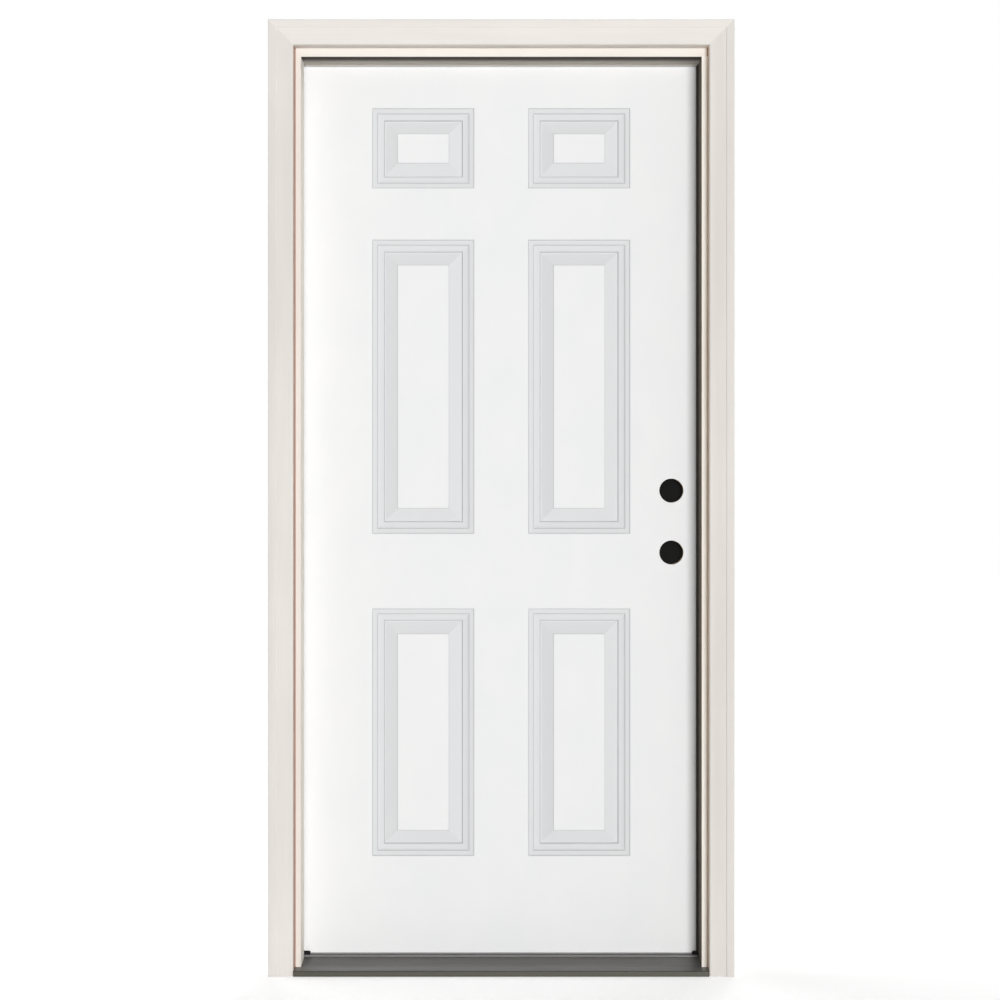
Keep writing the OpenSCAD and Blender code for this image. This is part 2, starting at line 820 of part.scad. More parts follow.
module frame_hinge_screws() {
    color("silver") for (z = hinge_heights) translate([pin_x, pin_y, z])
        at_hinge_screws(-1) wood_screw(jamb_screw_l);
}

module head_joint_screws() {
    color("silver") for (s = [0, 1]) mirror([s, 0, 0])
        at_joint_screws(head_joint_z) wood_screw(joint_screw_l);
}

module sill_joint_screws() {
    color("silver") for (s = [0, 1]) mirror([s, 0, 0])
        at_joint_screws(sill_joint_z) wood_screw(joint_screw_l);
}

exterior_skin();
interior_skin();
hinge_stile();
lock_stile();
top_rail();
bottom_rail();
foam_core();
lock_block();
door_sweep();
top_door_hinge_leaf();
middle_door_hinge_leaf();
bottom_door_hinge_leaf();
door_hinge_screws();
hinge_jamb();
strike_jamb();
head_jamb();
hinge_brickmould();
strike_brickmould();
head_brickmould();
hinge_weatherstrip();
strike_weatherstrip();
head_weatherstrip();
sill_deck();
sill_substrate();
sill_cap();
hinge_corner_pad();
strike_corner_pad();
top_frame_hinge_leaf();
middle_frame_hinge_leaf();
bottom_frame_hinge_leaf();
top_hinge_pin();
middle_hinge_pin();
bottom_hinge_pin();
frame_hinge_screws();
head_joint_screws();
sill_joint_screws();
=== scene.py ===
"""Looks of a six-panel steel entry door, hung in a timber frame with brickmould and a metal sill.

The classes hold their sizes in millimetres, in the frame of the solids: x to the right seen from
outside, y inwards and z up. MeshDraft turns them to metres when it makes a piece.
"""
import logging
import math
from dataclasses import dataclass, field
from enum import Enum
from typing import Any, Callable, Iterable, Sequence

import bmesh
import bpy
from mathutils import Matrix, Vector


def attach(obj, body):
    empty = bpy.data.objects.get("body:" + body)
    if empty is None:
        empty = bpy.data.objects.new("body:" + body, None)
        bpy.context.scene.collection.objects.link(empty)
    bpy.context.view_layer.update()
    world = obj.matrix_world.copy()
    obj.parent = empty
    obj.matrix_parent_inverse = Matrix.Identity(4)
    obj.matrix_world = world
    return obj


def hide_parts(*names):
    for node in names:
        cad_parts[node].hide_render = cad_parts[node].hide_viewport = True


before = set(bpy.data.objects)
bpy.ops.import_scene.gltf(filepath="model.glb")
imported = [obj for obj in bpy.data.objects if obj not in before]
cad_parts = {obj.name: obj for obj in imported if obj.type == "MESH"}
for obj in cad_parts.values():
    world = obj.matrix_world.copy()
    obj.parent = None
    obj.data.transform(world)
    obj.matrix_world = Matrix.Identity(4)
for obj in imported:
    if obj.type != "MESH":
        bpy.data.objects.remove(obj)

MM = 0.001
LOG = logging.getLogger("entry_door")
Point2 = tuple[float, float]
Point3 = tuple[float, float, float]
Tree = bpy.types.NodeTree
Node = bpy.types.Node
Socket = bpy.types.NodeSocket
# Blender's noise keeps mostly to this band.
NOISE_BAND: Point2 = (0.3, 0.7)
WHOLE: Point2 = (0.0, 1.0)
NEAR = 1e-6
# Points that agree to this many digits of a millimetre are one point.
MERGE_DIGITS = 4
# A corner that turns less isn't rounded, and a rounding takes at most this share of a side.
STRAIGHT_DEG = 4.0
CUT_SHARE = 0.45
ARRIS_STEPS = 2
ARRIS_TURN_DEG = 40.0
FLAT_DEG = 30.0


class Side(Enum):
    """The two sides of the doorway, as signs of x."""

    HINGE = -1
    LOCK = 1

    @property
    def word(self) -> str:
        """First word in the names of this side's solids."""
        return "hinge" if self is Side.HINGE else "strike"


class Face(Enum):
    """The two faces of the leaf."""

    OUTER = "exterior_skin"
    INNER = "interior_skin"


class Along(Enum):
    """The axis that fibres, brush lines or streaks run along, by its number."""

    X = 0
    Z = 2


class Body(Enum):
    """The two bodies that pieces ride on."""

    FRAME = "frame"
    DOOR = "door"


def linear(hex_colour: str) -> tuple[float, float, float, float]:
    """Turns an sRGB hex colour to linear RGBA.

    Args:
        hex_colour: colour as "#RRGGBB".

    Returns:
        Linear red, green, blue and an alpha of 1.
    """
    channels = [int(hex_colour[i:i + 2], 16) / 255 for i in (1, 3, 5)]
    red, green, blue = [
        c / 12.92 if c <= 0.04045 else ((c + 0.055) / 1.055) ** 2.4 for c in channels]
    return red, green, blue, 1.0


def add(tree: Tree, kind: str, inputs: dict | None = None, **settings: Any) -> Node:
    """Adds a node with its settings, and fills or links its inputs.

    Args:
        tree: node tree that gets the node.
        kind: Blender's name for the kind of node.
        inputs: values or output sockets, by the input's name or number.
        settings: properties of the node.

    Returns:
        The new node.
    """
    node = tree.nodes.new(kind)
    for name, value in settings.items():
        setattr(node, name, value)
    for key, value in (inputs or {}).items():
        if isinstance(value, Socket):
            tree.links.new(value, node.inputs[key])
        else:
            node.inputs[key].default_value = value
    return node


def spread(along: Along, length: float, across: float) -> Point3:
    """Cell sizes of a pattern that is long on one axis and narrow on the two others."""
    return tuple(length if i == along.value else across for i in range(3))


@dataclass(frozen=True)
class Finish:
    """What every finish has: the material's name, its colour, roughness and level of gloss."""

    name: str
    colour: str
    roughness: float
    gloss: float = 0.5

    def material(self) -> bpy.types.Material:
        """Makes the material on first use.

        Returns:
            The material of this finish.
        """
        known = bpy.data.materials.get(self.name)
        if known:
            return known
        made = bpy.data.materials.new(self.name)
        made.use_nodes = True
        shader = made.node_tree.nodes["Principled BSDF"]
        shader.inputs["Base Color"].default_value = linear(self.colour)
        shader.inputs["Roughness"].default_value = self.roughness
        shader.inputs["Specular IOR Level"].default_value = self.gloss
        self.paint(made.node_tree, shader)
        return made

    def paint(self, tree: Tree, shader: Node) -> None:
        """Adds the finish's own nodes; a plain finish has none."""

    def pattern(self, tree: Tree, cells_mm: Point3, detail: float = 2.0) -> Socket:
        """Noise that stays with the object.

        Args:
            tree: node tree of the material.
            cells_mm: size of the noise's cells along x, y and z.
            detail: octaves of finer noise.

        Returns:
            The socket that gives the noise, about 0.3 to 0.7.
        """
        coords = add(tree, "ShaderNodeTexCoord")
        cells = add(tree, "ShaderNodeMapping", {
            "Vector": coords.outputs["Object"], "Scale": [1 / (c * MM) for c in cells_mm]})
        noise = add(tree, "ShaderNodeTexNoise", {
            "Vector": cells.outputs["Vector"], "Scale": 1.0, "Detail": detail})
        return noise.outputs[0]

    def place(self, tree: Tree) -> Node:
        """Gives the node that splits the place on the object to x, y and z, in metres."""
        coords = add(tree, "ShaderNodeTexCoord")
        return add(tree, "ShaderNodeSeparateXYZ", {"Vector": coords.outputs["Object"]})

    def tint(self, tree: Tree, factor: Socket, band: Point2, colour: Socket | str,
             other: Socket | str) -> Socket:
        """Goes from one colour to another as a factor rises.

        Args:
            tree: node tree of the material.
            factor: socket that drives the change.
            band: values of the factor where the change starts and where it is complete.
            colour: first colour, as a hex value or a socket.
            other: second colour, as a hex value or a socket.

        Returns:
            The socket of the mixed colour.
        """
        ends = [linear(c) if isinstance(c, str) else c for c in (colour, other)]
        eased = add(tree, "ShaderNodeMapRange", {
            "Value": factor, "From Min": band[0], "From Max": band[1]})
        # The Mix node's sockets for colours are inputs 6 and 7 and output 2.
        mixed = add(tree, "ShaderNodeMix", {0: eased.outputs[0], 6: ends[0], 7: ends[1]},
                    data_type="RGBA")
        return mixed.outputs[2]

    def rough(self, tree: Tree, shader: Node, *heights: tuple[Socket, float]) -> None:
        """Lays bumps over each other and gives them to the shader.

        Args:
            tree: node tree of the material.
            shader: the material's shader.
            heights: pairs of a height socket and the real height of the bumps in millimetres.
        """
        normal = None
        for height, depth_mm in heights:
            inputs = {"Height": height, "Distance": depth_mm * MM, "Strength": 1.0}
            if normal is not None:
                inputs["Normal"] = normal
            normal = add(tree, "ShaderNodeBump", inputs).outputs[0]
        tree.links.new(normal, shader.inputs["Normal"])


@dataclass(frozen=True)
class PrimedSteel(Finish):
    """Galvanised sheet steel with a baked primer, sprayed on after the panels were pressed.

    The low lustre hides the metal. The spray leaves a fine orange peel. The hollows of the pressing
    and its steep sides are painted greyer, a painted shade in the mouldings. The sheet is never
    quite flat between its glue lines.
    """

    cloud_colour: str = "#F5F6F6"
    # Painted shade: the pressing's hollows and its steep sides are drawn in these greyer colours.
    recess_colour: str = "#E6E7E8"
    steep_colour: str = "#CBCCCE"
    middle_y: float = 93.75
    half_thick: float = 22.25
    recess_from: float = 1.25
    recess_full: float = 2.1
    faces_out: float = 0.2
    steep_band: Point2 = (0.06, 0.35)
    cloud_mm: Point3 = (90.0, 90.0, 140.0)
    # Real orange peel is 1 to 2 mm wide; it is drawn a little coarser, so that it shows.
    peel_mm: float = 2.4
    peel_height: float = 0.03
    wave_mm: float = 170.0
    wave_height: float = 0.25

    def paint(self, tree: Tree, shader: Node) -> None:
        """Adds the painted shade in the pressing's hollows and on its steep sides, the orange peel
        and the sheet's slow waves.

        Args:
            tree: node tree of the material.
            shader: the material's shader.
        """
        geometry = add(tree, "ShaderNodeNewGeometry")
        own = add(tree, "ShaderNodeVectorTransform", {"Vector": geometry.outputs["Normal"]},
                  vector_type="NORMAL", convert_from="WORLD", convert_to="OBJECT")
        split = add(tree, "ShaderNodeSeparateXYZ", {"Vector": own.outputs["Vector"]})
        facing = add(tree, "ShaderNodeMath", {0: split.outputs["Y"]}, operation="ABSOLUTE")
        pressed = add(tree, "ShaderNodeMath", {0: facing.outputs[0], 1: self.faces_out},
                      operation="GREATER_THAN")
        steep_shade = add(tree, "ShaderNodeMath", {0: pressed.outputs[0], 1: facing.outputs[0]},
                    operation="SUBTRACT")
        away = add(tree, "ShaderNodeMath", {
            0: self.place(tree).outputs["Y"], 1: self.middle_y * MM}, operation="SUBTRACT")
        high = add(tree, "ShaderNodeMath", {0: away.outputs[0]}, operation="ABSOLUTE")
        deep = add(tree, "ShaderNodeMapRange", {
            "Value": high.outputs[0], "From Min": (self.half_thick - self.recess_from) * MM,
            "From Max": (self.half_thick - self.recess_full) * MM})
        recess_shade = add(tree, "ShaderNodeMath", {0: deep.outputs[0], 1: pressed.outputs[0]},
                     operation="MULTIPLY")
        cloud = self.pattern(tree, self.cloud_mm)
        film_and_shade = self.tint(tree, cloud, NOISE_BAND, self.colour, self.cloud_colour)
        # Painted shade: grey in the pressing's hollows and greyer on its steep sides.
        film_and_shade = self.tint(tree, recess_shade.outputs[0], WHOLE, film_and_shade, self.recess_colour)
        film_and_shade = self.tint(tree, steep_shade.outputs[0], self.steep_band, film_and_shade, self.steep_colour)
        tree.links.new(film_and_shade, shader.inputs["Base Color"])
        peel = self.pattern(tree, (self.peel_mm,) * 3)
        waves = self.pattern(tree, (self.wave_mm,) * 3, detail=0.0)
        self.rough(tree, shader, (waves, self.wave_height), (peel, self.peel_height))


@dataclass(frozen=True)
class PrimedPine(Finish):
    """Planed pine under one coat of warm white primer, which lets the fibres telegraph through.

    Where bare_from is given, the primer stops that far from the middle of the doorway, and the
    front edge beyond it shows the red-brown timber. Where reveal_at is given, the stop's inner
    face at that place is painted dark, a painted shade for the shadow on that face, and it fades
    to pale behind thin_from.
    """

    shade: str = "#EFE7DC"
    along: Along = Along.Z
    # Pine fibres are finer than 0.1 mm; these are bundles of them, drawn coarse enough to show.
    fibre_mm: float = 1.6
    fibre_length_mm: float = 160.0
    fibre_band: Point2 = (0.45, 0.95)
    fibre_height: float = 0.06
    coat_mm: Point2 = (420.0, 60.0)
    bare_from: float = 0.0
    bare_depth: float = 0.4
    bare_colour: str = "#BA9D91"
    # Painted shade: the stop's inner face at reveal_at is drawn dark, fading to pale behind
    # thin_from.
    reveal_at: float = 0.0
    reveal_reach: Point2 = (-1.0, 0.2)
    reveal_axis: Along = Along.X
    reveal_depth: float = 63.4
    reveal_colour: str = "#6A6258"
    thin_from: float = 63.4
    thin_full: float = 63.5
    thin_colour: str = "#DDD8CF"

    def zone(self, tree: Tree, axis: Along, from_mm: float, to_mm: float,
             depth_mm: float) -> Socket:
        """Marks the faces that lie within a range on one axis and in front of a depth.

        Args:
            tree: node tree of the material.
            axis: axis of the range; places on x count on both sides of the doorway.
            from_mm: start of the range.
            to_mm: end of the range.
            depth_mm: depth that the faces stay in front of.

        Returns:
            The socket that is 1 in the zone and 0 elsewhere.
        """
        split = self.place(tree)
        reach = add(tree, "ShaderNodeMath", {0: split.outputs[axis.value]}, operation="ABSOLUTE")
        inside: Socket | None = None
        for value, limit_mm, test in ((reach.outputs[0], from_mm, "GREATER_THAN"),
                                      (reach.outputs[0], to_mm, "LESS_THAN"),
                                      (split.outputs["Y"], depth_mm, "LESS_THAN")):
            met = add(tree, "ShaderNodeMath", {0: value, 1: limit_mm * MM}, operation=test)
            if inside is not None:
                met = add(tree, "ShaderNodeMath", {0: inside, 1: met.outputs[0]},
                          operation="MULTIPLY")
            inside = met.outputs[0]
        return inside

    def paint(self, tree: Tree, shader: Node) -> None:
        """Adds the telegraphed fibres, the uneven coat, the bare line and the painted shade on the
        stop's inner face.

        Args:
            tree: node tree of the material.
            shader: the material's shader.
        """
        cells = spread(self.along, self.fibre_length_mm, self.fibre_mm)
        fibres = self.pattern(tree, cells, detail=4.0)
        coat = self.pattern(tree, spread(self.along, *self.coat_mm))
        film_and_shade = self.tint(tree, coat, NOISE_BAND, self.colour, self.shade)
        film_and_shade = self.tint(tree, fibres, self.fibre_band, film_and_shade, self.shade)
        if self.bare_from:
            bare = self.zone(tree, Along.X, self.bare_from, 2 * self.bare_from, self.bare_depth)
            film_and_shade = self.tint(tree, bare, WHOLE, film_and_shade, self.bare_colour)
        # Painted shade on the stop's inner face: a dark band that fades to pale towards the leaf.
        if self.reveal_at:
            low, high = (self.reveal_at + reach for reach in self.reveal_reach)
            reveal_shade_mask = self.zone(tree, self.reveal_axis, low, high, self.reveal_depth)
            painted_reveal_shade = self.tint(tree, self.place(tree).outputs["Y"],
                               (self.thin_from * MM, self.thin_full * MM),
                               self.reveal_colour, self.thin_colour)
            film_and_shade = self.tint(tree, reveal_shade_mask, WHOLE, film_and_shade, painted_reveal_shade)
        tree.links.new(film_and_shade, shader.inputs["Base Color"])
        self.rough(tree, shader, (fibres, self.fibre_height))


@dataclass(frozen=True)
class BarePine(Finish):
    """Planed softwood without a coat: pale early wood, darker late wood and fine fibres."""

    late: str = "#B98D5C"
    along: Along = Along.Z
    # Growth rings of fast-grown pine are 3 to 5 mm apart; on a flat face they run out wider.
    ring_mm: float = 7.0
    ring_length_mm: float = 380.0
    ring_band: Point2 = (0.42, 0.66)
    # As for primed pine, bundles of fibres, drawn coarse enough to show.
    fibre_mm: float = 0.9
    fibre_length_mm: float = 45.0
    fibre_band: Point2 = (0.5, 1.1)
    fibre_height: float = 0.08

    def paint(self, tree: Tree, shader: Node) -> None:
        """Adds growth rings and fibres.

        Args:
            tree: node tree of the material.
            shader: the material's shader.
        """
        rings, fibres = (
            self.pattern(tree, spread(self.along, length, across), detail=3.0)
            for length, across in ((self.ring_length_mm, self.ring_mm),
                                   (self.fibre_length_mm, self.fibre_mm)))
        grain = self.tint(tree, rings, self.ring_band, self.colour, self.late)
        grain = self.tint(tree, fibres, self.fibre_band, grain, self.late)
        tree.links.new(grain, shader.inputs["Base Color"])
        self.rough(tree, shader, (fibres, self.fibre_height))


@dataclass(frozen=True)
class DrawnMetal(Finish):
    """Rolled or extruded metal with the fine lines that the die and the brush leave along it.

    Where worn_from is given, the metal in front of that y is darker, and behind the y of
    dull_from a painted shade darkens the deck's rear, which catches the light.
    """

    shade: str = "#585858"
    along: Along = Along.X
    # The lines are about 0.2 mm wide; they are drawn coarser, or they wouldn't show.
    line_mm: float = 1.1
    line_length_mm: float = 90.0
    line_band: Point2 = (0.4, 0.75)
    line_height: float = 0.03
    cloud_mm: Point2 = (260.0, 30.0)
    cloud_band: Point2 = (0.35, 0.65)
    rough_range: Point2 = (-0.07, 0.1)
    # Darker in front of worn_from; behind dull_from, a painted shade on the deck's lit rear.
    worn_from: float = 0.0
    worn_colour: str = "#4B4A44"
    dull_from: float = 0.0
    dull_colour: str = "#62625F"
    edge_mm: float = 2.0

    def paint(self, tree: Tree, shader: Node) -> None:
        """Adds the drawn lines, to the colour, the roughness and the surface.

        Args:
            tree: node tree of the material.
            shader: the material's shader.
        """
        shader.inputs["Metallic"].default_value = 1.0
        cells = spread(self.along, self.line_length_mm, self.line_mm)
        lines = self.pattern(tree, cells, detail=3.0)
        cloud = self.pattern(tree, spread(self.along, *self.cloud_mm))
        metal = self.tint(tree, cloud, self.cloud_band, self.colour, self.shade)
        metal = self.tint(tree, lines, self.line_band, metal, self.shade)
        # Darker at the nose; behind dull_from a painted shade darkens the deck's lit rear.
        if self.worn_from:
            depth = self.place(tree).outputs["Y"]
            nose_band = ((self.worn_from + self.edge_mm) * MM, self.worn_from * MM)
            dam_shade_band = ((self.dull_from - self.edge_mm) * MM, self.dull_from * MM)
            metal = self.tint(tree, depth, nose_band, metal, self.worn_colour)
            metal = self.tint(tree, depth, dam_shade_band, metal, self.dull_colour)
        tree.links.new(metal, shader.inputs["Base Color"])
        low, high = (self.roughness + change for change in self.rough_range)
        brushed = add(tree, "ShaderNodeMapRange", {
            "Value": lines, "From Min": NOISE_BAND[0], "From Max": NOISE_BAND[1],
            "To Min": low, "To Max": high})
        tree.links.new(brushed.outputs[0], shader.inputs["Roughness"])
        self.rough(tree, shader, (lines, self.line_height))


@dataclass(frozen=True)
class ExtrudedVinyl(Finish):
    """Soft vinyl from a die: even colour with faint streaks along its length and a dull skin."""

    shade: str = "#2C2A26"
    along: Along = Along.Z
    # Die streaks are about 0.3 mm wide; they are drawn coarser, so that they show.
    streak_mm: float = 1.2
    streak_length_mm: float = 130.0
    streak_band: Point2 = (0.35, 0.7)
    streak_height: float = 0.05
    grain_mm: float = 0.7
    grain_height: float = 0.02

    def paint(self, tree: Tree, shader: Node) -> None:
        """Adds the die's streaks and a fine grain.

        Args:
            tree: node tree of the material.
            shader: the material's shader.
        """
        cells = spread(self.along, self.streak_length_mm, self.streak_mm)
        streaks = self.pattern(tree, cells, detail=3.0)
        grain = self.pattern(tree, (self.grain_mm,) * 3)
        skin = self.tint(tree, streaks, self.streak_band, self.colour, self.shade)
        tree.links.new(skin, shader.inputs["Base Color"])
        self.rough(tree, shader, (streaks, self.streak_height), (grain, self.grain_height))


@dataclass(frozen=True)
class CellFoam(Finish):
    """Foamed plastic with open cells at its cut faces."""

    # Painted shade: the floors of the cells are drawn in this darker colour.
    shade: str = "#050505"
    # Real cells are 0.3 to 0.5 mm wide; they are drawn coarser, so that they show.
    cell_mm: float = 0.9
    cell_band: Point2 = (0.1, 0.6)
    cell_height: float = 0.25

    def paint(self, tree: Tree, shader: Node) -> None:
        """Adds the cells, as pits whose floors are painted darker: a painted shade in each pit.

        Args:
            tree: node tree of the material.
            shader: the material's shader.
        """
        coords = add(tree, "ShaderNodeTexCoord")
        cells = add(tree, "ShaderNodeTexVoronoi", {
            "Vector": coords.outputs["Object"], "Scale": 1 / (self.cell_mm * MM)})
        skin = self.tint(tree, cells.outputs["Distance"], self.cell_band, self.shade, self.colour)
        tree.links.new(skin, shader.inputs["Base Color"])
        self.rough(tree, shader, (cells.outputs["Distance"], self.cell_height))


@dataclass(frozen=True)
class Finishes:
    """All finishes of the door, each named for its material and how the surface was made."""

    # Baked primer: a soft, nearly matt white, with no glint of metal; the pressings get a painted
    # shade that makes them greyer.
    steel: PrimedSteel = PrimedSteel("primed_galvanised_steel", "#F8F8F8", 0.68, 0.2)
    # One brushed coat on planed pine: warm white, matt, with faint lines along the grain. The hinge
    # jamb and the head show a line of bare timber where the coat stops beside the casing.
    jamb: PrimedPine = PrimedPine(
        "primed_pine_jamb", "#F8F3EB", 0.85, 0.15, "#F0E9E0", bare_from=455.6)
    # The same coat; the stop's inner face is painted dark, a painted shade for the dark edge beside
    # the slab.
    lock_jamb: PrimedPine = PrimedPine(
        "primed_pine_lock_jamb", "#FAF6EF", 0.85, 0.15, "#F2ECE3", reveal_at=444.3)
    # The same coat along x; the painted shade on the stop's underside fades out towards the leaf.
    head: PrimedPine = PrimedPine(
        "primed_pine_head", "#F8F3EB", 0.85, 0.15, "#F0E9E0", Along.X, bare_from=455.6,
        reveal_at=2031.8, reveal_axis=Along.Z, reveal_colour="#4C463F", thin_from=22.0)
    # Moulded pine with a sprayed primer: a cooler, greyer white than the jambs.
    casing: PrimedPine = PrimedPine("primed_pine_casing", "#F0EBE5", 0.8, 0.2, "#E7E2DC")
    # The head's copy is painted lighter than the legs': a painted light that lifts the shade on its
    # underside.
    head_casing: PrimedPine = PrimedPine(
        "primed_pine_head_casing_lightened", "#F7F2EC", 0.8, 0.2, "#EFEAE4", Along.X)
    # Uncoated inner edge of the casings: a thin red-brown line. The lock side's copy is painted
    # paler: a painted light that lifts the shade on that edge.
    bare_edge: BarePine = BarePine("planed_redwood_edge", "#C6A497", 0.75, 0.2, "#B08E81")
    lock_bare_edge: BarePine = BarePine("planed_redwood_lock_edge_lightened", "#F0D5BB", 0.75, 0.2, "#E2C3A5")
    # Planed and uncoated: honey yellow with darker rings, seen at the edges of the open leaf.
    stile: BarePine = BarePine("planed_pine", "#DDBE8F", 0.68, 0.3)
    rail: BarePine = BarePine("planed_pine_rail", "#DDBE8F", 0.68, 0.3, along=Along.X)
    # Pressure-treated: duller and greener than planed pine.
    sill_timber: BarePine = BarePine(
        "pressure_treated_pine", "#A98C62", 0.75, 0.3, "#8A6D45", Along.X)
    # Poured rigid foam: matt straw yellow, full of small pits whose floors carry a painted shade.
    foam: CellFoam = CellFoam("poured_polyurethane_foam", "#E0CF98", 0.9, 0.3, "#B9A66C")
    # Extruded vinyl in bronze: dark and dull, with a faint sheen along its bulb.
    strip: ExtrudedVinyl = ExtrudedVinyl("extruded_bronze_vinyl", "#4A443C", 0.5, 0.3, "#3B352E")
    # The head's strip is painted pale, unlike the side strips: a painted light that lifts the shade
    # under the head.
    head_strip: ExtrudedVinyl = ExtrudedVinyl(
        "extruded_vinyl_lightened", "#E4E0D9", 0.5, 0.3, "#D8D4CD", Along.X)
    # Grey vinyl under the leaf: lost in the shadow at its foot.
    sweep: ExtrudedVinyl = ExtrudedVinyl(
        "extruded_grey_vinyl", "#B4B4B4", 0.5, 0.4, "#A2A2A2", Along.X)
    # Extruded composite: an even, matt grey line at the leaf's foot.
    cap: ExtrudedVinyl = ExtrudedVinyl(
        "extruded_grey_composite", "#868686", 0.6, 0.3, "#7B7B7B", Along.X)
    # Cut black foam: takes nearly all light.
    pad: CellFoam = CellFoam("cut_black_foam", "#151515", 0.9, 0.3)
    # Extruded and brushed aluminium: grey streaks along x, darker at the nose, with a painted shade
    # over the lit rear of the deck behind the leaf.
    sill: DrawnMetal = DrawnMetal(
        "brushed_aluminium_sill", "#7C7C7A", 0.5, 0.5, "#72716F", line_length_mm=600.0,
        worn_from=-29.0, dull_from=62.0)
    # Satin nickel on pressed steel: warm grey, with soft highlights along its brush lines.
    hinge: DrawnMetal = DrawnMetal("satin_nickel_steel", "#B9B4AA", 0.34, 0.5, "#A8A297", Along.Z)
    # Bright zinc on turned steel: paler and a little glossier than the hinges.
    screw: DrawnMetal = DrawnMetal("zinc_plated_steel", "#C2C0BA", 0.3, 0.5, "#ABA8A0", Along.Z)


FINISHES = Finishes()


@dataclass
class MeshDraft:
    """Points and faces of one piece, in millimetres. Points at one place are one point."""

    points: list[Point3] = field(default_factory=list)
    faces: list[list[int]] = field(default_factory=list)
    slots: list[int] = field(default_factory=list)
    creases: set[frozenset[int]] = field(default_factory=set)
    known: dict[Point3, int] = field(default_factory=dict)

    def point(self, place: Point3) -> int:
        """Gives the number of the point at a place.

        Args:
            place: the place.

        Returns:
            The number of the point there, a new one where there was none.
        """
        key = tuple(round(c, MERGE_DIGITS) for c in place)
        if key not in self.known:
            self.known[key] = len(self.points)
            self.points.append(place)
        return self.known[key]

    def face(self, places: Iterable[Point3], slot: int = 0) -> None:
        """Adds a face.

        Args:
            places: its corners in order.
            slot: number of its material slot.
        """
        corners: list[int] = []
        for place in places:
            number = self.point(place)
            if number not in corners:
                corners.append(number)
        if len(corners) > 2:
            self.faces.append(corners)
            self.slots.append(slot)

    def crease(self, one: Point3, other: Point3) -> None:
        """Keeps the edge between two points sharp."""
        self.creases.add(frozenset((self.point(one), self.point(other))))

    def prism(self, outline: Sequence[Point2], place: Callable[[Point2, int], Point3],
              slots: Sequence[int] | None = None) -> None:
        """Adds a straight bar with a closed outline.

        Args:
            outline: corners of the section.
            place: gives the point of a corner at the bar's end 0 or 1.
            slots: material slot of the face after each corner.
        """
        ends = [[place(corner, end) for corner in outline] for end in (0, 1)]
        count = len(outline)
        for i in range(count):
            j = (i + 1) % count
            self.face((ends[0][i], ends[0][j], ends[1][j], ends[1][i]), slots[i] if slots else 0)
        self.face(ends[0][::-1])
        self.face(ends[1])

    def piece(self, name: str, finishes: Sequence[Finish], smooth_deg: float,
              outward: bool = True) -> bpy.types.Object:
        """Makes the object.

        Args:
            name: name of the piece.
            finishes: its finishes, in the order of the material slots.
            smooth_deg: edges that turn less than this are shaded smooth.
            outward: turns the faces of a closed piece outwards.

        Returns:
            The new object, in metres.
        """
        mesh = bpy.data.meshes.new(name)
        mesh.from_pydata([Vector(p) * MM for p in self.points], [], self.faces)
        mesh.polygons.foreach_set("material_index", self.slots)
        work = bmesh.new()
        work.from_mesh(mesh)
        if outward:
            bmesh.ops.recalc_face_normals(work, faces=work.faces)
        for edge in work.edges:
            turn = edge.calc_face_angle(math.pi)
            kept = frozenset(v.index for v in edge.verts) in self.creases
            edge.smooth = turn < math.radians(smooth_deg) and not kept
        for one in work.faces:
            one.smooth = True
        work.to_mesh(mesh)
        work.free()
        for finish in finishes:
            mesh.materials.append(finish.material())
        made = bpy.data.objects.new(name, mesh)
        bpy.context.scene.collection.objects.link(made)
        return made


def rounded(path: Sequence[Point2], radius: float, steps: int = 3,
            closed: bool = False) -> list[Point2]:
    """Rounds the corners of a path.

    Args:
        path: corners of the path.
        radius: radius of the rounding, less where the sides are short.
        steps: straight parts in each rounding.
        closed: whether the path comes back to its start.

    Returns:
        The points of the rounded path.
    """
    count = len(path)
    result: list[Point2] = []
    for i, corner in enumerate(path):
        if not closed and i in (0, count - 1):
            result.append(corner)
            continue
        here = Vector(corner)
        back, on = Vector(path[i - 1]) - here, Vector(path[(i + 1) % count]) - here
        turn = math.pi - back.angle(on)
        if turn < math.radians(STRAIGHT_DEG):
            result.append(corner)
            continue
        cut = min(radius * math.tan(turn / 2), CUT_SHARE * back.length, CUT_SHARE * on.length)
        start, stop = here + back.normalized() * cut, here + on.normalized() * cut
        for k in range(steps + 1):
            t = k / steps
            spot = start * (1 - t) ** 2 + here * (2 * t * (1 - t)) + stop * t ** 2
            result.append((spot.x, spot.y))
    return result


def arc(centre: Point2, radius: float, start: float, stop: float, steps: int) -> list[Point2]:
    """Points on an arc, with its angles in degrees."""
    angles = [math.radians(start + (stop - start) * i / steps) for i in range(steps + 1)]
    return [(centre[0] + radius * math.cos(a), centre[1] + radius * math.sin(a)) for a in angles]


def present(piece: bpy.types.Object, body: Body, node: str) -> None:
    """Puts a piece on its body in place of a solid.

    Args:
        piece: the new piece.
        body: body that it rides on.
        node: solid that it stands for.
    """
    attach(piece, body.value)
    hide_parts(node)
    LOG.info("%s replaces %s", piece.name, node)


def dress(node: str, finish: Finish, arris_mm: float = 0.0) -> None:
    """Gives a solid its finish.

    Args:
        node: name of the solid.
        finish: its finish.
        arris_mm: width of the softened arrises, 0 for none.
    """
    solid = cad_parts[node]
    if not solid.material_slots:
        solid.data.materials.append(finish.material())
    for slot in solid.material_slots:
        slot.material = finish.material()
    if arris_mm:
        arris = solid.modifiers.new("arris", "BEVEL")
        arris.width = arris_mm * MM
        arris.segments = ARRIS_STEPS
        arris.limit_method = "ANGLE"
        arris.angle_limit = math.radians(ARRIS_TURN_DEG)
    LOG.info("%s is %s", node, finish.name)


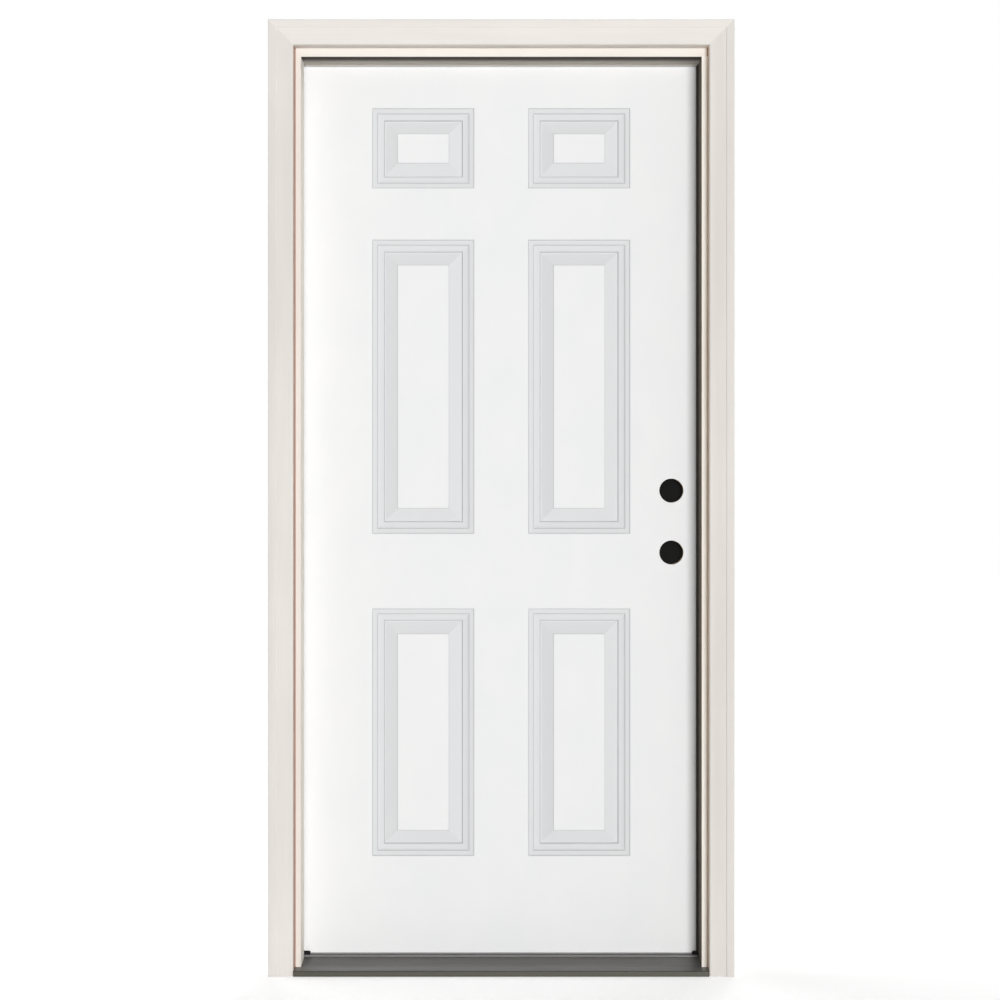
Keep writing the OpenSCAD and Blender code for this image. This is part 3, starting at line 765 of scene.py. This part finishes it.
@dataclass
class PressedSkin:
    """One steel skin of the leaf: flat face, six pressed panels, two lock bores and folded hems."""

    width: float = 908.0
    foot: float = 28.5
    height: float = 2013.0
    face_y: float = 71.5
    back_y: float = 116.0
    gauge: float = 0.7
    fold: float = 1.2
    hem: float = 9.0
    panel_width: float = 230.0
    column_x: float = 176.0
    rows: tuple[Point2, ...] = ((246.0, 558.0), (973.0, 663.5), (1752.5, 180.5))
    bore_x: float = 384.0
    bore_heights: tuple[float, ...] = (930.5, 1070.2)
    bore_radius: float = 27.0
    patch: float = 33.0
    bore_steps: int = 64
    # The punch's roll-over, as the distance out from the bore's edge and the depth below the face.
    bore_lip: tuple[Point2, ...] = ((0.0, 0.5), (0.14, 0.18), (0.5, 0.0), (3.0, 0.0))
    notch_x: float = 451.4
    notch_heights: tuple[float, ...] = (358.3, 1085.5, 1812.7)
    notch_half: float = 50.95
    hinge_edge_y: float = 77.75
    hinge_corner: float = 16.05
    corner_steps: int = 7
    corner_stride: float = 1.5
    fold_steps: int = 5
    # The pressing, as the distance in from the panel's edge and the depth below the face.
    step: tuple[Point2, ...] = ((-4.0, 0.0), (0.0, 0.0), (1.68, 2.24), (11.0, 2.8))
    cove_at: Point2 = (11.6, 3.6)
    cove_size: Point2 = (14.4, 3.4)
    cove_steps: int = 9
    bevel: tuple[Point2, ...] = (
        (27.925, 10.5), (29.5, 10.5), (56.5, 2.4), (57.9, 1.0), (62.0, 1.0))
    press_radius: float = 1.1
    smooth_deg: float = 50.0

    def profile(self) -> list[Point2]:
        """Section of the pressing, from the flat face to the raised field.

        Returns:
            Pairs of the distance in from the panel's edge and the depth below the face.
        """
        (start, depth), (run, fall) = self.cove_at, self.cove_size
        turns = [math.radians(90 * k / self.cove_steps) for k in range(self.cove_steps + 1)]
        cove = [(start + run * (1 - math.cos(a)), depth + fall * math.sin(a)) for a in turns]
        return rounded([*self.step, *cove, *self.bevel], self.press_radius)[1:-1]

    def build(self, face: Face) -> bpy.types.Object:
        """Builds the skin of one face.

        Args:
            face: outer or inner face of the leaf.

        Returns:
            The skin.
        """
        draft = MeshDraft()
        mirrored = face is Face.INNER

        def spot(x: float, z: float, depth: float = 0.0) -> Point3:
            """Gives the point at a place on the face and a depth below it."""
            return x, self.back_y - depth if mirrored else self.face_y + depth, z

        def lay(*corners: tuple[float, ...]) -> None:
            """Adds a face, turned to the outside of the leaf."""
            places = [spot(*c) for c in corners]
            draft.face(places[::-1] if mirrored else places)

        rim: set[Point2] = set()
        edge_in = -self.profile()[0][0]
        cells = self.flat_cells(edge_in)
        for x0, x1, z0, z1 in cells:
            rim.update(((x0, z0), (x1, z0), (x1, z1), (x0, z1)))
        rim.update(self.bores(lay))
        rim.update(self.hems(lay, mirrored))
        for cell in cells:
            lay(*self.outline(cell, rim))
        for x in (-self.column_x, self.column_x):
            for z, height in self.rows:
                self.press(lay, draft, spot, (x, z + height / 2), height)
        skin = draft.piece(
            f"{face.value}_pressed", [FINISHES.steel], self.smooth_deg, outward=False)
        sheet = skin.modifiers.new("gauge", "SOLIDIFY")
        sheet.thickness = self.gauge * MM
        sheet.offset = -1
        sheet.use_even_offset = True
        skin.modifiers.new("even_light", "WEIGHTED_NORMAL").keep_sharp = True
        return skin

    def flat_cells(self, edge: float) -> list[tuple[float, float, float, float]]:
        """Rectangles that make up the flat face round the panels and the bores.

        Args:
            edge: how far the pressing's roll-over reaches out of a panel.

        Returns:
            Their x and z ranges.
        """
        low, high = self.foot, self.foot + self.height
        inner = self.column_x - self.panel_width / 2 - edge
        outer = self.column_x + self.panel_width / 2 + edge
        patches = [(z - self.patch, z + self.patch) for z in self.bore_heights]
        left, right = self.bore_x - self.patch, self.bore_x + self.patch
        cells = [(x0, x1, low, high) for x0, x1 in (
            (-self.notch_x, -outer), (-inner, inner), (outer, left), (right, self.notch_x))]
        steps = [low, *(z for pair in patches for z in pair), high]
        cells += [(left, right, steps[i], steps[i + 1]) for i in range(0, len(steps), 2)]
        steps = [low, *(z for z0, h in self.rows for z in (z0 - edge, z0 + h + edge)), high]
        for x0, x1 in ((-outer, -inner), (inner, outer)):
            cells += [(x0, x1, steps[i], steps[i + 1]) for i in range(0, len(steps), 2)]
        return cells

    def outline(self, cell: tuple[float, float, float, float], rim: set[Point2]) -> list[Point2]:
        """Walks round a flat rectangle through every point that lies on its sides.

        Args:
            cell: x and z range of the rectangle.
            rim: all points that its neighbours have.

        Returns:
            The corners of the face in order.
        """
        x0, x1, z0, z1 = cell
        within = [(x, z) for x, z in rim
                  if x0 - NEAR <= x <= x1 + NEAR and z0 - NEAR <= z <= z1 + NEAR]
        walks = ((1, z0, 0, 1), (0, x1, 1, 1), (1, z1, 0, -1), (0, x0, 1, -1))
        path: list[Point2] = []
        for axis, level, other, way in walks:
            path += sorted((p for p in within if abs(p[axis] - level) < NEAR),
                           key=lambda p: way * p[other])
        return path

    def bores(self, lay: Callable[..., None]) -> set[Point2]:
        """Lays the face round the lock bores, with the punch's roll-over at their edges.

        Args:
            lay: adds one face.

        Returns:
            The points on the outside of the two patches.
        """
        outside: set[Point2] = set()
        turns = [2 * math.pi * i / self.bore_steps for i in range(self.bore_steps)]
        for z in self.bore_heights:
            rings = [[(self.bore_x + (self.bore_radius + grow) * math.cos(a),
                       z + (self.bore_radius + grow) * math.sin(a), depth) for a in turns]
                     for grow, depth in self.bore_lip]
            square = []
            for a in turns:
                stretch = self.patch / max(abs(math.cos(a)), abs(math.sin(a)))
                square.append((self.bore_x + stretch * math.cos(a), z + stretch * math.sin(a), 0.0))
            rings.append(square)
            outside.update((x, h) for x, h, _ in square)
            for inner, outer in zip(rings, rings[1:]):
                for i in range(self.bore_steps):
                    j = (i + 1) % self.bore_steps
                    lay(inner[i], outer[i], outer[j], inner[j])
        return outside

    def hem_depth(self, z: float, side: Side, mirrored: bool) -> float:
        """Depth that the hem reaches, less where a hinge leaf cuts the outer skin's hem.

        Args:
            z: the height.
            side: side of the leaf.
            mirrored: whether this is the inner skin.

        Returns:
            The depth below the face.
        """
        if side is Side.LOCK or mirrored:
            return self.hem
        deep = self.hinge_edge_y - self.face_y
        for middle in self.notch_heights:
            past = abs(z - middle) - (self.notch_half - self.hinge_corner)
            if past <= 0:
                return deep
            if past < self.hinge_corner:
                curve = self.hinge_corner - math.sqrt(self.hinge_corner ** 2 - past ** 2)
                return min(self.hem, deep + curve)
        return self.hem

    def hems(self, lay: Callable[..., None], mirrored: bool) -> set[Point2]:
        """Folds the two long edges round the stiles, with notches at the hinges.

        Args:
            lay: adds one face.
            mirrored: whether this is the inner skin, whose hem the hinge leaves cut right through.

        Returns:
            The points where the folds meet the flat face.
        """
        meeting: set[Point2] = set()
        flat = self.hinge_corner - self.notch_half
        offsets = [-self.notch_half, self.notch_half] if mirrored else [
            s * (-flat + k * self.corner_stride) for s in (-1, 1) for k in range(self.corner_steps)]
        bends = [(self.width / 2 - self.fold + x, self.fold + y)
                 for x, y in arc((0.0, 0.0), self.fold, -90, 0, self.fold_steps)]
        for side in Side:
            levels = {self.foot, self.foot + self.height}
            if side is Side.HINGE:
                levels.update(z + d for z in self.notch_heights for d in offsets)
            heights = sorted(levels)
            meeting.update((side.value * self.notch_x, z) for z in heights)
            for low, high in zip(heights, heights[1:]):
                middle = (low + high) / 2
                if mirrored and side is Side.HINGE and any(
                        abs(middle - z) < self.notch_half for z in self.notch_heights):
                    continue
                lows, highs = (
                    [(side.value * x, z, d) for x, d in (
                        (self.notch_x, 0.0), *bends,
                        (self.width / 2, self.hem_depth(z, side, mirrored)))] for z in (low, high))
                for i in range(len(lows) - 1):
                    quad = (lows[i], lows[i + 1], highs[i + 1], highs[i])
                    lay(*(quad if side is Side.LOCK else quad[::-1]))
        return meeting

    def press(self, lay: Callable[..., None], draft: MeshDraft, spot: Callable[..., Point3],
              centre: Point2, height: float) -> None:
        """Presses one panel, as rings of faces with mitred corners.

        Args:
            lay: adds one face.
            draft: mesh that keeps the mitres sharp.
            spot: turns a place on the face to a point.
            centre: middle of the panel.
            height: height of the panel.
        """
        corners = ((-1, -1), (1, -1), (1, 1), (-1, 1))
        rings = [[(centre[0] + sx * (self.panel_width / 2 - inset),
                   centre[1] + sz * (height / 2 - inset), depth)
                  for sx, sz in corners] for inset, depth in self.profile()]
        for outer, inner in zip(rings, rings[1:]):
            for k in range(len(corners)):
                j = (k + 1) % len(corners)
                lay(outer[k], outer[j], inner[j], inner[k])
                draft.crease(spot(*outer[k]), spot(*inner[k]))
        lay(*rings[-1])


@dataclass
class DoorLeaf:
    """The leaf: two skins over a timber frame with foam in it, the lock block and the sweep."""

    skin: PressedSkin = field(default_factory=PressedSkin)
    sweep_half: float = 451.0
    sweep_front: float = 73.0
    sweep_back: float = 114.5
    sweep_top: float = 28.5
    sweep_base: float = 26.5
    fin_foot: float = 24.3
    fin_width: float = 1.6
    fins: int = 4
    # A fin between its two ends at the base: y in widths of the fin, and z over its foot.
    fin_shape: tuple[Point2, ...] = ((0.35, 0.9), (1.0, 0.0), (1.6, 0.0), (1.15, 1.1))
    legs_y: tuple[float, float] = (82.975, 104.525)
    leg_top: float = 36.5
    leg_half: float = 1.0
    leg_tip_half: float = 0.5
    leg_taper: float = 1.5
    sweep_round: float = 0.35
    sweep_round_steps: int = 2
    smooth_deg: float = 40.0

    def build(self) -> None:
        """Builds the skins and the sweep, and dresses the leaf's solids."""
        for face in Face:
            present(self.skin.build(face), Body.DOOR, face.value)
        present(self.sweep(), Body.DOOR, "door_sweep")
        for node in ("hinge_stile", "lock_stile", "lock_block"):
            dress(node, FINISHES.stile)
        for node in ("top_rail", "bottom_rail"):
            dress(node, FINISHES.rail)
        dress("foam_core", FINISHES.foam)

    def sweep(self) -> bpy.types.Object:
        """Builds the sweep: a base with two legs in the bottom rail and fins that lean inwards.

        Returns:
            The sweep.
        """
        under: list[Point2] = []
        room = self.sweep_back - self.sweep_front - 2 * self.fin_width
        for i in range(self.fins):
            y = self.sweep_front + room * i / (self.fins - 1)
            fin = [(y + run * self.fin_width, self.fin_foot + rise) for run, rise in self.fin_shape]
            under += [(y, self.sweep_base), *fin, (y + self.fin_width, self.sweep_base)]
        over: list[Point2] = []
        for y in sorted(self.legs_y, reverse=True):
            side = [(self.leg_half, self.sweep_top), (self.leg_half, self.leg_top - self.leg_taper),
                    (self.leg_tip_half, self.leg_top)]
            over += [(y + half, z) for half, z in side] + [(y - half, z) for half, z in side[::-1]]
        outline = [(self.sweep_front, self.sweep_top), *under, (self.sweep_back, self.sweep_base),
                   (self.sweep_back, self.sweep_top), *over]
        draft = MeshDraft()
        draft.prism(rounded(outline, self.sweep_round, self.sweep_round_steps, closed=True),
                    lambda corner, end: ((2 * end - 1) * self.sweep_half, corner[0], corner[1]))
        return draft.piece("vinyl_sweep", [FINISHES.sweep], self.smooth_deg)


@dataclass
class TimberFrame:
    """The rabbeted jambs and the brickmould round their outer edge."""

    casing_x: float = 458.3
    casing_z: float = 2051.8
    width: float = 55.0
    thickness: float = 32.0
    inner_thickness: float = 28.0
    fillet: float = 17.0
    bead: float = 4.0
    quirk: float = 1.6
    ease: float = 1.0
    ogee_steps: int = 16
    bead_steps: int = 9
    fillet_round: float = 1.4
    smooth_deg: float = 28.0

    def build(self) -> None:
        """Builds the three casings and dresses the jambs."""
        for side in Side:
            present(self.leg(side), Body.FRAME, f"{side.word}_brickmould")
        present(self.head(), Body.FRAME, "head_brickmould")
        dress("hinge_jamb", FINISHES.jamb)
        dress("strike_jamb", FINISHES.lock_jamb)
        dress("head_jamb", FINISHES.head)

    def section(self) -> tuple[list[Point2], list[int]]:
        """Section of the brickmould: bead, shallow ogee, quirk and a flat fillet at the outside.

        Returns:
            Points as the distance out from the inner edge and the height over the jamb, and the
            material slot of the side after each point.
        """
        run = self.width - self.fillet - self.bead - self.ease
        rise = self.thickness - self.quirk - self.inner_thickness
        steps = self.ogee_steps
        ogee = [(self.bead + run * i / steps,
                 self.inner_thickness + rise * (1 - math.cos(math.pi * i / steps)) / 2)
                for i in range(1, steps + 1)]
        front = rounded([ogee[-1], (self.width - self.fillet, self.thickness),
                         (self.width - self.ease, self.thickness),
                         (self.width, self.thickness - self.ease), (self.width, 0.0)],
                        self.fillet_round)
        bead = arc((self.bead, self.inner_thickness - self.bead), self.bead, 180, 90,
                   self.bead_steps)
        points = [(0.0, 0.0), *bead, *ogee, *front[1:]]
        return points, [1] + [0] * (len(points) - 1)

    def leg(self, side: Side) -> bpy.types.Object:
        """Builds a side casing, mitred at its top. Its inner edge is bare timber.

        Args:
            side: side of the doorway.

        Returns:
            The casing.
        """
        points, slots = self.section()
        draft = MeshDraft()
        draft.prism(points, lambda corner, end: (
            side.value * (self.casing_x + corner[0]), -corner[1],
            end * (self.casing_z + corner[0])), slots)
        # The lock side gets the paler copy, a painted light against the shade on that edge.
        bare = FINISHES.bare_edge if side is Side.HINGE else FINISHES.lock_bare_edge
        return draft.piece(f"casing_{side.name.lower()}", [FINISHES.casing, bare], self.smooth_deg)

    def head(self) -> bpy.types.Object:
        """Builds the head casing, mitred at both ends.

        Returns:
            The casing.
        """
        points, _ = self.section()
        draft = MeshDraft()
        draft.prism(points, lambda corner, end: (
            (2 * end - 1) * (self.casing_x + corner[0]), -corner[1], self.casing_z + corner[0]))
        # The lighter copy is a painted light against the shade on the head casing's underside.
        return draft.piece("casing_head", [FINISHES.head_casing], self.smooth_deg)


@dataclass
class Seals:
    """Weatherstrips in the kerfs of the jambs and the foam pads at the foot of the leaf."""

    back_x: float = 476.0
    top_z: float = 2063.5
    rabbet_x: float = 457.0
    rabbet_z: float = 2044.5
    stop_z: float = 2031.8
    stop_x: float = 444.3
    stop_y: float = 63.5
    inset: float = 19.3
    tip: float = 36.7
    hinge_tip: float = 30.7
    bulb_front: float = 63.8
    bulb_back: float = 71.2
    leg_front: float = 52.8
    leg_width: float = 2.4
    leg_chamfer: float = 0.7
    leg_taper: float = 2.0
    seam_back: float = 0.6
    seam_half: float = 0.45
    seam_deep: float = 0.5
    bulb_steps: int = 14
    strip_smooth_deg: float = 40.0
    clear: float = 0.3
    strip_foot: float = 32.6
    pad_width: float = 26.4
    pad_foot: float = 24.3
    pad_top: float = 32.3
    pad_reach: float = 14.0
    pad_round: float = 1.4
    pad_sink: float = 0.3
    pad_steps: int = 10
    pad_smooth_deg: float = 60.0

    def build(self) -> None:
        """Builds the three strips and the two pads."""
        for side in Side:
            present(self.strip(side), Body.FRAME, f"{side.word}_weatherstrip")
            pad = self.pad(side)
            present(pad, Body.FRAME, f"{side.word}_corner_pad")
        present(self.head_strip(), Body.FRAME, "head_weatherstrip")

    def section(self, tip: float) -> list[Point2]:
        """Section of a strip: a leg with a pointed foot, and a bulb with a seam by its round tip.

        Args:
            tip: reach of the bulb from the jamb's back.

        Returns:
            Points as the distance from the jamb's back and the y of the frame.
        """
        radius = (self.bulb_back - self.bulb_front) / 2
        middle = (self.bulb_front + self.bulb_back) / 2
        foot = self.leg_front
        far = self.inset + self.leg_width
        leg = [(self.inset + self.leg_chamfer, foot), (far - self.leg_chamfer, foot),
               (far, foot + self.leg_taper), (far, self.stop_y)]
        seam = tip - radius - self.seam_back
        front = [(far, self.bulb_front), (seam - self.seam_half, self.bulb_front),
                 (seam, self.bulb_front + self.seam_deep), (seam + self.seam_half, self.bulb_front)]
        bulb = arc((tip - radius, middle), radius, -90, 90, self.bulb_steps)
        return leg + front + bulb + [(self.inset, self.bulb_back), (self.inset, self.stop_y),
                                     (self.inset, foot + self.leg_taper)]

    def strip(self, side: Side) -> bpy.types.Object:
        """Builds a side strip, whose bulb is mitred against the head's.

        Args:
            side: side of the doorway.

        Returns:
            The strip.
        """
        def place(corner: Point2, end: int) -> Point3:
            """Gives a point of the strip.

            Args:
                corner: corner of the section.
                end: 0 at the foot, 1 at the head.

            Returns:
                The point.
            """
            x = self.back_x - corner[0]
            top = self.stop_z if corner[1] <= self.stop_y else x - self.rabbet_x + self.rabbet_z
            return side.value * x, corner[1], top - self.clear if end else self.strip_foot

        draft = MeshDraft()
        draft.prism(self.section(self.hinge_tip if side is Side.HINGE else self.tip), place)
        return draft.piece(f"strip_{side.name.lower()}", [FINISHES.strip], self.strip_smooth_deg)

    def head_strip(self) -> bpy.types.Object:
        """Builds the head's strip, mitred at both ends.

        Returns:
            The strip.
        """
        def place(corner: Point2, end: int) -> Point3:
            """Gives the point of a corner of the section at the left end, 0, or the right, 1."""
            z = self.top_z - corner[0]
            return (2 * end - 1) * (self.rabbet_x + z - self.rabbet_z), corner[1], z

        draft = MeshDraft()
        draft.prism(self.section(self.tip), place)
        return draft.piece("strip_head", [FINISHES.head_strip], self.strip_smooth_deg)

    def pad(self, side: Side) -> bpy.types.Object:
        """Builds a foam pad: a small block with soft edges that sinks in a little between them.

        Args:
            side: side of the doorway.

        Returns:
            The pad.
        """
        half = (self.pad_width / 2, (self.bulb_back - self.bulb_front) / 2,
                (self.pad_top - self.pad_foot) / 2)
        centre = (side.value * (self.stop_x - self.pad_reach + half[0]), self.bulb_front + half[1],
                  self.pad_foot + half[2])
        grid = [2 * i / self.pad_steps - 1 for i in range(self.pad_steps + 1)]

        def soften(unit: Point3) -> Point3:
            """Turns a place on a cube to one on the pad.

            Args:
                unit: place on the cube from -1 to 1.

            Returns:
                The point on the pad.
            """
            raw = Vector(u * h for u, h in zip(unit, half))
            core = Vector(max(-h + self.pad_round, min(h - self.pad_round, c))
                          for c, h in zip(raw, half))
            out = raw - core
            soft = core + (out.normalized() * self.pad_round if out.length > NEAR else out)
            if abs(unit[1]) == 1.0:
                sink = self.pad_sink * (1 - unit[0] ** 2) * (1 - unit[2] ** 2)
                soft.y -= math.copysign(sink, unit[1])
            return tuple(soft + Vector(centre))

        draft = MeshDraft()
        for axis in range(3):
            for end in (-1.0, 1.0):
                for a0, a1 in zip(grid, grid[1:]):
                    for b0, b1 in zip(grid, grid[1:]):
                        corners = []
                        for a, b in ((a0, b0), (a1, b0), (a1, b1), (a0, b1)):
                            unit = [a, b]
                            unit.insert(axis, end)
                            corners.append(soften(tuple(unit)))
                        draft.face(corners)
        return draft.piece(f"pad_{side.name.lower()}", [FINISHES.pad], self.pad_smooth_deg)


@dataclass
class Sill:
    """The metal deck on its timber, and the cap that the leaf's sweep meets."""

    arris: float = 0.3

    def build(self) -> None:
        """Dresses the sill's solids."""
        dress("sill_deck", FINISHES.sill, self.arris)
        dress("sill_substrate", FINISHES.sill_timber)
        dress("sill_cap", FINISHES.cap)


@dataclass
class Hinges:
    """Three butt hinges with loose pins, and all screws."""

    arris: float = 0.3
    places: tuple[str, ...] = ("top", "middle", "bottom")
    screwed: tuple[str, ...] = ("door_hinge", "frame_hinge", "head_joint", "sill_joint")

    def build(self) -> None:
        """Dresses the hinges and the screws."""
        for place in self.places:
            for part in ("door_hinge_leaf", "frame_hinge_leaf", "hinge_pin"):
                dress(f"{place}_{part}", FINISHES.hinge, self.arris)
        for place in self.screwed:
            dress(f"{place}_screws", FINISHES.screw)


@dataclass(frozen=True)
class Lamp:
    """A far, soft lamp placed by its angles as the object sees it. Its tubes share its strength."""

    name: str
    right_degs: tuple[float, ...]
    up_deg: float
    spread_deg: float
    strength: float
    away_m: float = 6.0

    def light(self) -> None:
        """Hangs the lamp, as a row of one or more tubes side by side."""
        lamp = bpy.data.lights.new(self.name, "SUN")
        lamp.angle = math.radians(self.spread_deg)
        lamp.energy = self.strength / len(self.right_degs)
        up = math.radians(self.up_deg)
        for right in map(math.radians, self.right_degs):
            level = Vector((math.sin(right), -math.cos(right), 0.0)) * math.cos(up)
            towards = level + Vector((0.0, 0.0, math.sin(up)))
            hung = bpy.data.objects.new(self.name, lamp)
            hung.rotation_euler = (-towards).to_track_quat("-Z", "Y").to_euler()
            hung.location = towards * self.away_m
            bpy.context.scene.collection.objects.link(hung)


@dataclass
class Studio:
    """Camera, lamps, white surround and pale floor."""

    camera_x: float = -2.75
    camera_z: float = 1049.0
    front_y: float = -32.0
    distance: float = 4000.0
    view_width: float = 2200.0
    sensor_mm: float = 36.0
    ambient: float = 0.03
    floor_half: float = 20000.0
    floor_z: float = -0.5
    floor_colour: str = "#E6E6E6"
    floor_glow: float = 0.6
    lamps: tuple[Lamp, ...] = (
        Lamp("key", (3.3, 8.0, 13.0, 18.5), 3.0, 6.0, 2.3),
        Lamp("side", (75.0,), 25.0, 30.0, 0.2),
        Lamp("rear", (150.0, 175.0), 25.0, 40.0, 2.1),
        Lamp("rear_left", (-115.0,), 30.0, 40.0, 1.0),
    )

    def build(self) -> None:
        """Sets up the whole stage."""
        self.camera()
        for lamp in self.lamps:
            lamp.light()
        self.surround()
        self.floor()
        bpy.context.scene.view_settings.view_transform = "Standard"

    def camera(self) -> None:
        """Stands the camera square in front of the door."""
        lens = bpy.data.cameras.new("camera")
        lens.sensor_width = self.sensor_mm
        lens.lens = self.sensor_mm * self.distance / self.view_width
        stand = bpy.data.objects.new("camera", lens)
        stand.location = Vector((self.camera_x, self.front_y - self.distance, self.camera_z)) * MM
        stand.rotation_euler = (math.pi / 2, 0.0, 0.0)
        bpy.context.scene.collection.objects.link(stand)
        bpy.context.scene.camera = stand

    def surround(self) -> None:
        """Makes the world white where it is seen or mirrored, and dim as a light."""
        world = bpy.data.worlds.new("surround")
        bpy.context.scene.world = world
        world.use_nodes = True
        tree = world.node_tree
        tree.nodes.clear()
        path = add(tree, "ShaderNodeLightPath")
        seen = add(tree, "ShaderNodeMath", {
            0: path.outputs["Is Camera Ray"], 1: path.outputs["Is Glossy Ray"]}, operation="ADD")
        shown = add(tree, "ShaderNodeMath", {
            0: seen.outputs[0], 1: path.outputs["Is Transmission Ray"]},
                    operation="ADD", use_clamp=True)
        light = add(tree, "ShaderNodeMapRange", {
            "Value": shown.outputs[0], "To Min": self.ambient, "To Max": 1.0})
        glow = add(tree, "ShaderNodeBackground", {
            "Color": (1.0, 1.0, 1.0, 1.0), "Strength": light.outputs[0]})
        add(tree, "ShaderNodeOutputWorld", {"Surface": glow.outputs[0]})

    def floor(self) -> None:
        """Lays a pale floor, white to the camera where nothing shades it."""
        material = bpy.data.materials.new("pale_floor")
        material.use_nodes = True
        tree = material.node_tree
        tree.nodes.clear()
        path = add(tree, "ShaderNodeLightPath")
        matt = add(tree, "ShaderNodeBsdfDiffuse", {"Color": linear(self.floor_colour)})
        seen = add(tree, "ShaderNodeMath", {0: path.outputs["Is Camera Ray"], 1: self.floor_glow},
                   operation="MULTIPLY")
        glow = add(tree, "ShaderNodeEmission", {"Strength": seen.outputs[0]})
        both = add(tree, "ShaderNodeAddShader", {0: matt.outputs[0], 1: glow.outputs[0]})
        add(tree, "ShaderNodeOutputMaterial", {"Surface": both.outputs[0]})
        draft = MeshDraft()
        reach = self.floor_half
        draft.face([(x, y, self.floor_z) for x, y in (
            (-reach, -reach), (reach, -reach), (reach, reach), (-reach, reach))])
        floor = draft.piece("floor", [], FLAT_DEG)
        floor.data.materials.append(material)


@dataclass
class BoreDark:
    """Black discs halfway down the lock bores: a painted shade for the dark inside them, which
    keeps the surround from showing.
    """

    skin: PressedSkin
    clear: float = 0.15
    # Black card: no sheen; a painted shade as dark as a deep hole.
    card: Finish = Finish("black_card_painted_shade", "#030303", 1.0)

    def build(self) -> None:
        """Hangs one disc in each bore, so that it moves with the leaf."""
        middle = (self.skin.face_y + self.skin.back_y) / 2
        for number, z in enumerate(self.skin.bore_heights):
            draft = MeshDraft()
            radius = self.skin.bore_radius - self.clear
            ring = arc((self.skin.bore_x, z), radius, 0, 360, self.skin.bore_steps)[:-1]
            draft.face([(x, middle, h) for x, h in ring])
            disc = draft.piece(f"bore_painted_shade_{number}", [self.card], FLAT_DEG)
            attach(disc, Body.DOOR.value)


def main() -> None:
    """Builds the door's looks and the stage round it."""
    logging.basicConfig(level=logging.INFO, format="%(name)s: %(message)s")
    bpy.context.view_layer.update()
    leaf = DoorLeaf()
    for assembly in (leaf, TimberFrame(), Seals(), Sill(), Hinges(), Studio(), BoreDark(leaf.skin)):
        assembly.build()
        LOG.info("%s done", type(assembly).__name__)


if __name__ == "__main__":
    main()
